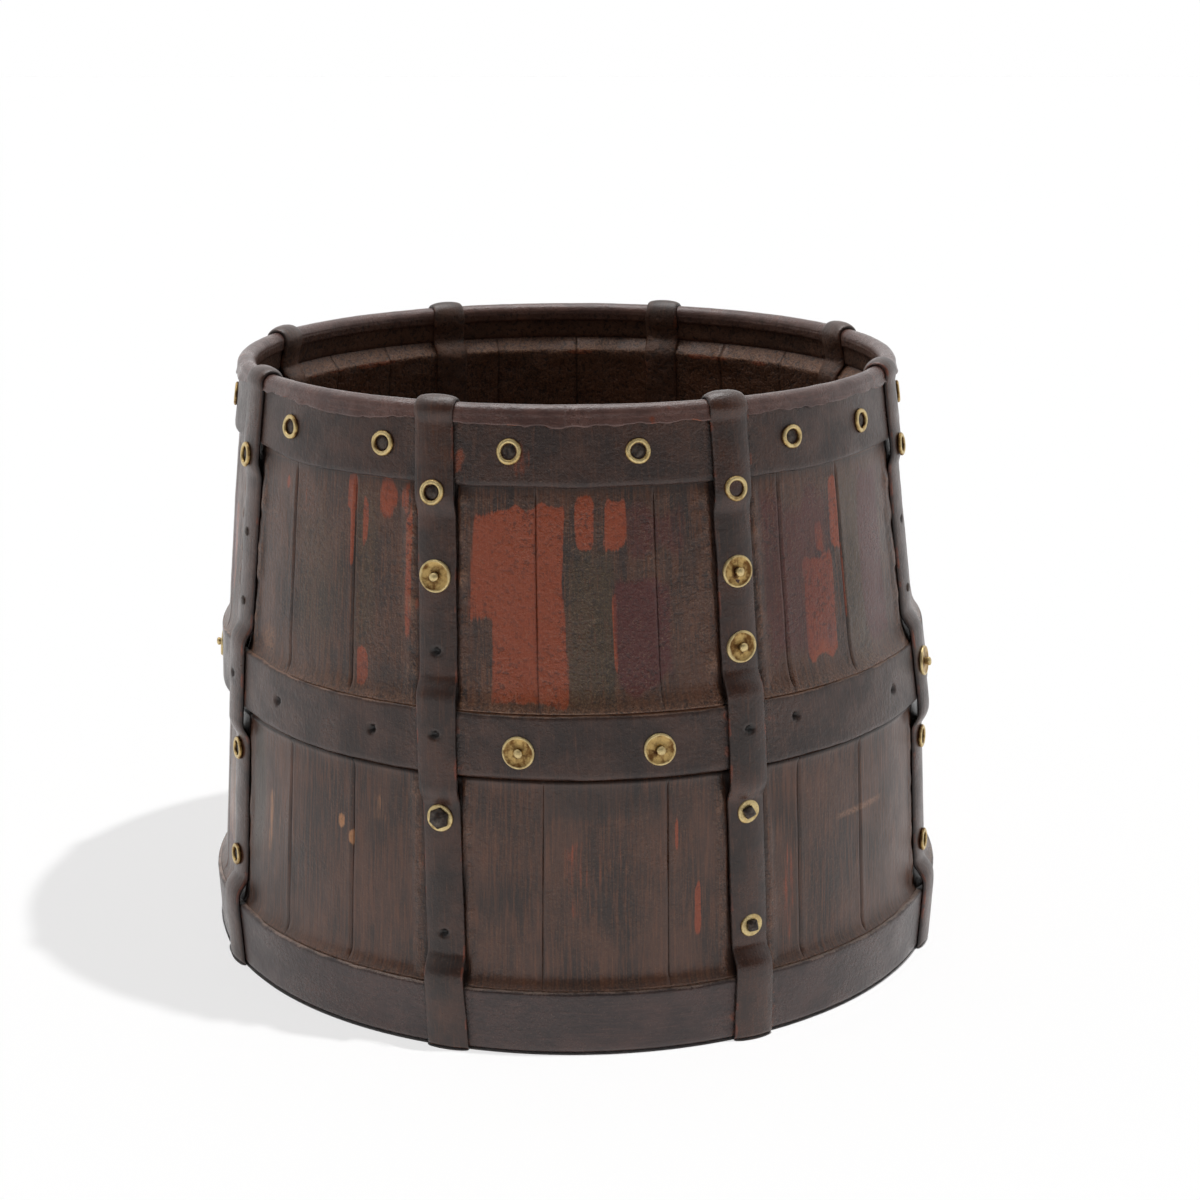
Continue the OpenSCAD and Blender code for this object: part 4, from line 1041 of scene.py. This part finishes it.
def make_fasteners():
    """Rings, nails, roves, rivets, square nails and the stud, each sunk a little in its seat."""
    s = -SEAT
    a = np.linspace(0, 2 * np.pi, 15)[:-1]
    ring = np.stack([3.45 + 0.85 * np.cos(a), s + 0.72 + 0.72 * np.sin(a) * (1 - 0.12 * np.cos(a))], -1)
    turned("brass_rings", of_kind("rt"), ring, True, brass, "ring_washers", rubbed, out_of_round=0.05)
    head = [(0, -2.4), (0.95, -2.4), (0.95, s), (2.3, s), (2.36, s + 0.28), (2.0, s + 0.5), (1.2, s + 0.62), (0, s + 0.64)]
    turned("ring_nail_heads", of_kind("rt"), head, False, iron, "ring_nails", rubbed, out_of_round=0.06)
    rove = [(1.35, s), (5.5, s), (5.56, s + 0.35), (5.5, s + 0.85), (5.3, s + 1.06), (5.0, s + 1.08), (4.6, s + 0.96),
            (4.0, s + 0.84), (3.0, s + 0.78), (2.1, s + 0.84), (1.35, s + 0.95)]
    turned("brass_roves", of_kind("w"), rove, True, brass, "roves", dished, segments=48, out_of_round=0.025,
           tip=0.8)
    pin = [(0, -13.6), (2.9, -13.5), (3.0, -12.6), (2.6, -12.1), (1.25, -12.0), (1.25, s + 0.9), (1.3, 1.3), (1.5, 1.7),
           (1.55, 2.1), (1.3, 2.5), (0.8, 2.72), (0, 2.78)]
    turned("rivet_pins", of_kind("w"), pin, False, brass, "rivets", rubbed, segments=20,
           out_of_round=0.1, tip=2.0, bend=0.8)
    washer = [(1.1, s), (4.1, s), (4.16, s + 0.4), (4.0, s + 0.8), (3.7, s + 0.9), (2.4, s + 0.82), (1.1, s + 0.86)]
    turned("nail_washers", of_kind("s"), washer, True, brass, "square_nail_washers", rubbed,
           segments=40, out_of_round=0.05, tip=1.5)
    square = [(0, -6), (0.95, -6), (0.95, s + 0.85), (1.85, s + 0.86), (1.95, s + 1.3), (1.8, s + 2.1), (1.2, s + 2.5),
              (0, s + 2.62)]
    turned("square_nail_heads", of_kind("s"), square, False, iron, "square_nails", rubbed,
           outline=superellipse(4, 0.75), segments=32, out_of_round=0.05, tip=3)
    wide = [(1.1, s), (4.7, s), (4.76, s + 0.4), (4.6, s + 0.8), (4.2, s + 0.9), (2.4, s + 0.84), (1.1, s + 0.86)]
    turned("stud_washer", of_kind("i"), wide, True, brass, "iron_stud_washer", rubbed, segments=44,
           out_of_round=0.04)
    stud = [(0, -6), (0.95, -6), (0.95, s + 0.86), (3.3, s + 0.87), (3.35, s + 1.3), (3.0, s + 2.1), (2.1, s + 3.2),
            (1.1, s + 3.62), (0, s + 3.7)]
    turned("iron_stud_head", of_kind("i"), stud, False, iron, "iron_stud", rubbed,
           outline=superellipse(6, 1.0), segments=36, out_of_round=0.03, tip=3)
    small = [(0, -6), (0.95, -6), (0.95, s), (1.6, s + 0.02), (1.72, s + 0.3), (1.5, s + 0.6), (0.9, s + 0.8), (0, s + 0.85)]
    turned("small_nail_heads", of_kind("n"), small, False, iron, "small_nails", rubbed, out_of_round=0.08)


# Bottom board
def make_board():
    """Three planks: chords of a disc between two lines of Y, with a slightly hollow, worn top."""
    low_r, high_r = float(wall(8.0)) - STAVE_T + 3 - 0.3, float(wall(17.0)) - STAVE_T + 3 - 0.3
    board_r = max(low_r, high_r)
    for i in range(3):
        y0, y1 = (-board_r + 2 * board_r * (i + j) / 3 for j in (0, 1))
        y0, y1 = max(y0, -board_r + 0.2) + 0.1, min(y1, board_r - 0.2) - 0.1
        v, u = np.meshgrid(np.linspace(y0, y1, 46), np.linspace(-1, 1, 160), indexing="ij")
        sides = []
        for r, z in ((high_r, 17.0), (low_r, 8.0)):
            y = v * r / board_r
            x = u * np.sqrt(np.maximum(r * r - y * y, 0))
            grid = np.stack([x, y, np.full_like(x, z)], -1)
            if z > 10:
                edge = np.minimum(v - y0, y1 - v)
                grid[..., 2] += 0.25 * lumps(grid, (40, 12, 12), 201 + i, 2) - 0.25 - 0.5 * np.exp(-edge / 0.7)
            sides.append(grid)
        paint, skin = coat(u.shape)
        skin[..., 2] = np.clip(np.exp(-np.minimum(v - y0, y1 - v) / 1.0), 0, 1) * 0.9
        skin[..., 2] = np.maximum(skin[..., 2], 0.8 * ramp(np.hypot(sides[0][..., 0], sides[0][..., 1]), 112, 130))
        layers = {"lie": (sides[0] * 0.001, sides[1] * 0.001), "paint": (paint, paint), "skin": (skin, skin)}
        piece = slab("floor_plank_%d" % (i + 1), sides[0] * 0.001, sides[1] * 0.001, layers)
        finish(piece, boards, ["bottom_plank_%d" % (i + 1)])


make_staves()
make_hoops()
make_lining()
make_binding()
make_straps()
make_fasteners()
make_board()


# Floor, light and camera
def make_floor():
    """Plain white floor that takes the tub's shadows."""
    mesh = bpy.data.meshes.new("floor")
    n = 9.0
    mesh.from_pydata([(-n, -n, -0.0004), (n, -n, -0.0004), (n, n, -0.0004), (-n, n, -0.0004)], [], [(0, 1, 2, 3)])
    floor = bpy.data.objects.new("floor", mesh)
    bpy.context.scene.collection.objects.link(floor)
    white = bpy.data.materials.new("white_floor")
    white.use_nodes = True
    skin = white.node_tree.nodes["Principled BSDF"]
    skin.inputs["Base Color"].default_value = (0.93, 0.93, 0.93, 1)
    skin.inputs["Roughness"].default_value = 1.0
    skin.inputs["Specular IOR Level"].default_value = 0.0
    mesh.materials.append(white)
    return floor


def sun(name, strength, direction, softness, only=None):
    """A distant light that shines along a direction."""
    data = bpy.data.lights.new(name, "SUN")
    data.energy = strength
    data.angle = math.radians(softness)
    lamp = bpy.data.objects.new(name, data)
    bpy.context.scene.collection.objects.link(lamp)
    d = np.array(direction, float)
    d /= np.linalg.norm(d)
    lamp.rotation_euler = (math.acos(-d[2]), 0, math.atan2(d[0], -d[1]))
    if only is not None:
        lamp.light_linking.receiver_collection = only
    return lamp


def panel(name, power, at, aim, wide, tall, only=None):
    """A soft box at a point, facing another."""
    data = bpy.data.lights.new(name, "AREA")
    data.shape = "RECTANGLE"
    data.size, data.size_y = wide, tall
    data.energy = power
    lamp = bpy.data.objects.new(name, data)
    bpy.context.scene.collection.objects.link(lamp)
    lamp.location = at
    d = np.array(aim, float) - np.array(at, float)
    d /= np.linalg.norm(d)
    lamp.rotation_euler = (math.acos(-d[2]), 0, math.atan2(d[0], -d[1]))
    if only is not None:
        lamp.light_linking.receiver_collection = only
    return lamp


def group(name, objects):
    """A collection that light linking uses, holding these objects."""
    found = bpy.data.collections.new(name)
    for o in objects:
        found.objects.link(o)
    return found


def make_light(floor):
    """The floor is lit by two suns that cast the two shadows; the tub by soft boxes above, left and
    right. The world is white to the camera, and white at the sides and behind in reflections."""
    floor_only = group("floor_only", [floor])
    tub_only = group("tub_only", [o for o in bpy.data.objects if o.type == "MESH" and o is not floor])
    sun("sun_behind", 2.45, (0.02, -0.235, -0.97), 1.2, floor_only)
    sun("sun_left", 0.75, (0.40, -0.04, -0.93), 2.0, floor_only)
    panel("box_over", 9.0, (-0.1, 0.25, 1.15), (0, 0, 0.1), 0.9, 0.7, tub_only)
    panel("box_left", 12.0, (-1.1, -0.75, 1.0), (0, 0, 0.12), 0.8, 0.8, tub_only)
    panel("box_right", 8.0, (1.2, -0.35, 0.75), (0, 0, 0.12), 0.6, 0.9, tub_only)
    panel("box_front", 9.0, (0.1, -1.6, 0.9), (0, 0, 0.12), 1.2, 0.8, tub_only)
    world = bpy.data.worlds.new("studio")
    bpy.context.scene.world = world
    world.use_nodes = True
    nodes, links = world.node_tree.nodes, world.node_tree.links
    nodes.clear()
    out = nodes.new("ShaderNodeOutputWorld")
    path = nodes.new("ShaderNodeLightPath")
    plain, seen, shine = (nodes.new("ShaderNodeBackground") for _ in range(3))
    plain.inputs[0].default_value = (1, 1, 1, 1)
    plain.inputs[1].default_value = 0.10
    seen.inputs[0].default_value = (1, 1, 1, 1)
    seen.inputs[1].default_value = 1.0
    shine.inputs[1].default_value = 1.0
    place_in = nodes.new("ShaderNodeTexCoord")
    split = nodes.new("ShaderNodeSeparateXYZ")
    links.new(place_in.outputs["Generated"], split.inputs[0])
    side = nodes.new("ShaderNodeMapRange")
    side.interpolation_type = "SMOOTHSTEP"
    for socket, value in zip(side.inputs[1:5], (-0.75, 0.15, 0.16, 0.95)):
        socket.default_value = value
    links.new(split.outputs[1], side.inputs[0])
    links.new(side.outputs[0], shine.inputs[0])
    first, second = nodes.new("ShaderNodeMixShader"), nodes.new("ShaderNodeMixShader")
    links.new(path.outputs["Is Glossy Ray"], first.inputs[0])
    links.new(plain.outputs[0], first.inputs[1])
    links.new(shine.outputs[0], first.inputs[2])
    either = nodes.new("ShaderNodeMath")
    either.operation = "MAXIMUM"
    links.new(path.outputs["Is Camera Ray"], either.inputs[0])
    links.new(path.outputs["Is Transmission Ray"], either.inputs[1])
    links.new(either.outputs[0], second.inputs[0])
    links.new(first.outputs[0], second.inputs[1])
    links.new(seen.outputs[0], second.inputs[2])
    links.new(second.outputs[0], out.inputs[0])


def make_camera():
    """The photograph's view, fitted to the hoops and the outline."""
    data = bpy.data.cameras.new("camera")
    data.sensor_width = 36
    data.lens = 2165 / 1200 * 36
    data.shift_y = -1 / 1200
    camera = bpy.data.objects.new("camera", data)
    bpy.context.scene.collection.objects.link(camera)
    camera.location = (0, -0.8143, 0.3505)
    camera.rotation_euler = (math.radians(90 - 15.62), 0, math.radians(-0.67))
    bpy.context.scene.camera = camera


make_light(make_floor())
make_camera()
bpy.context.scene.view_settings.view_transform = "Standard"
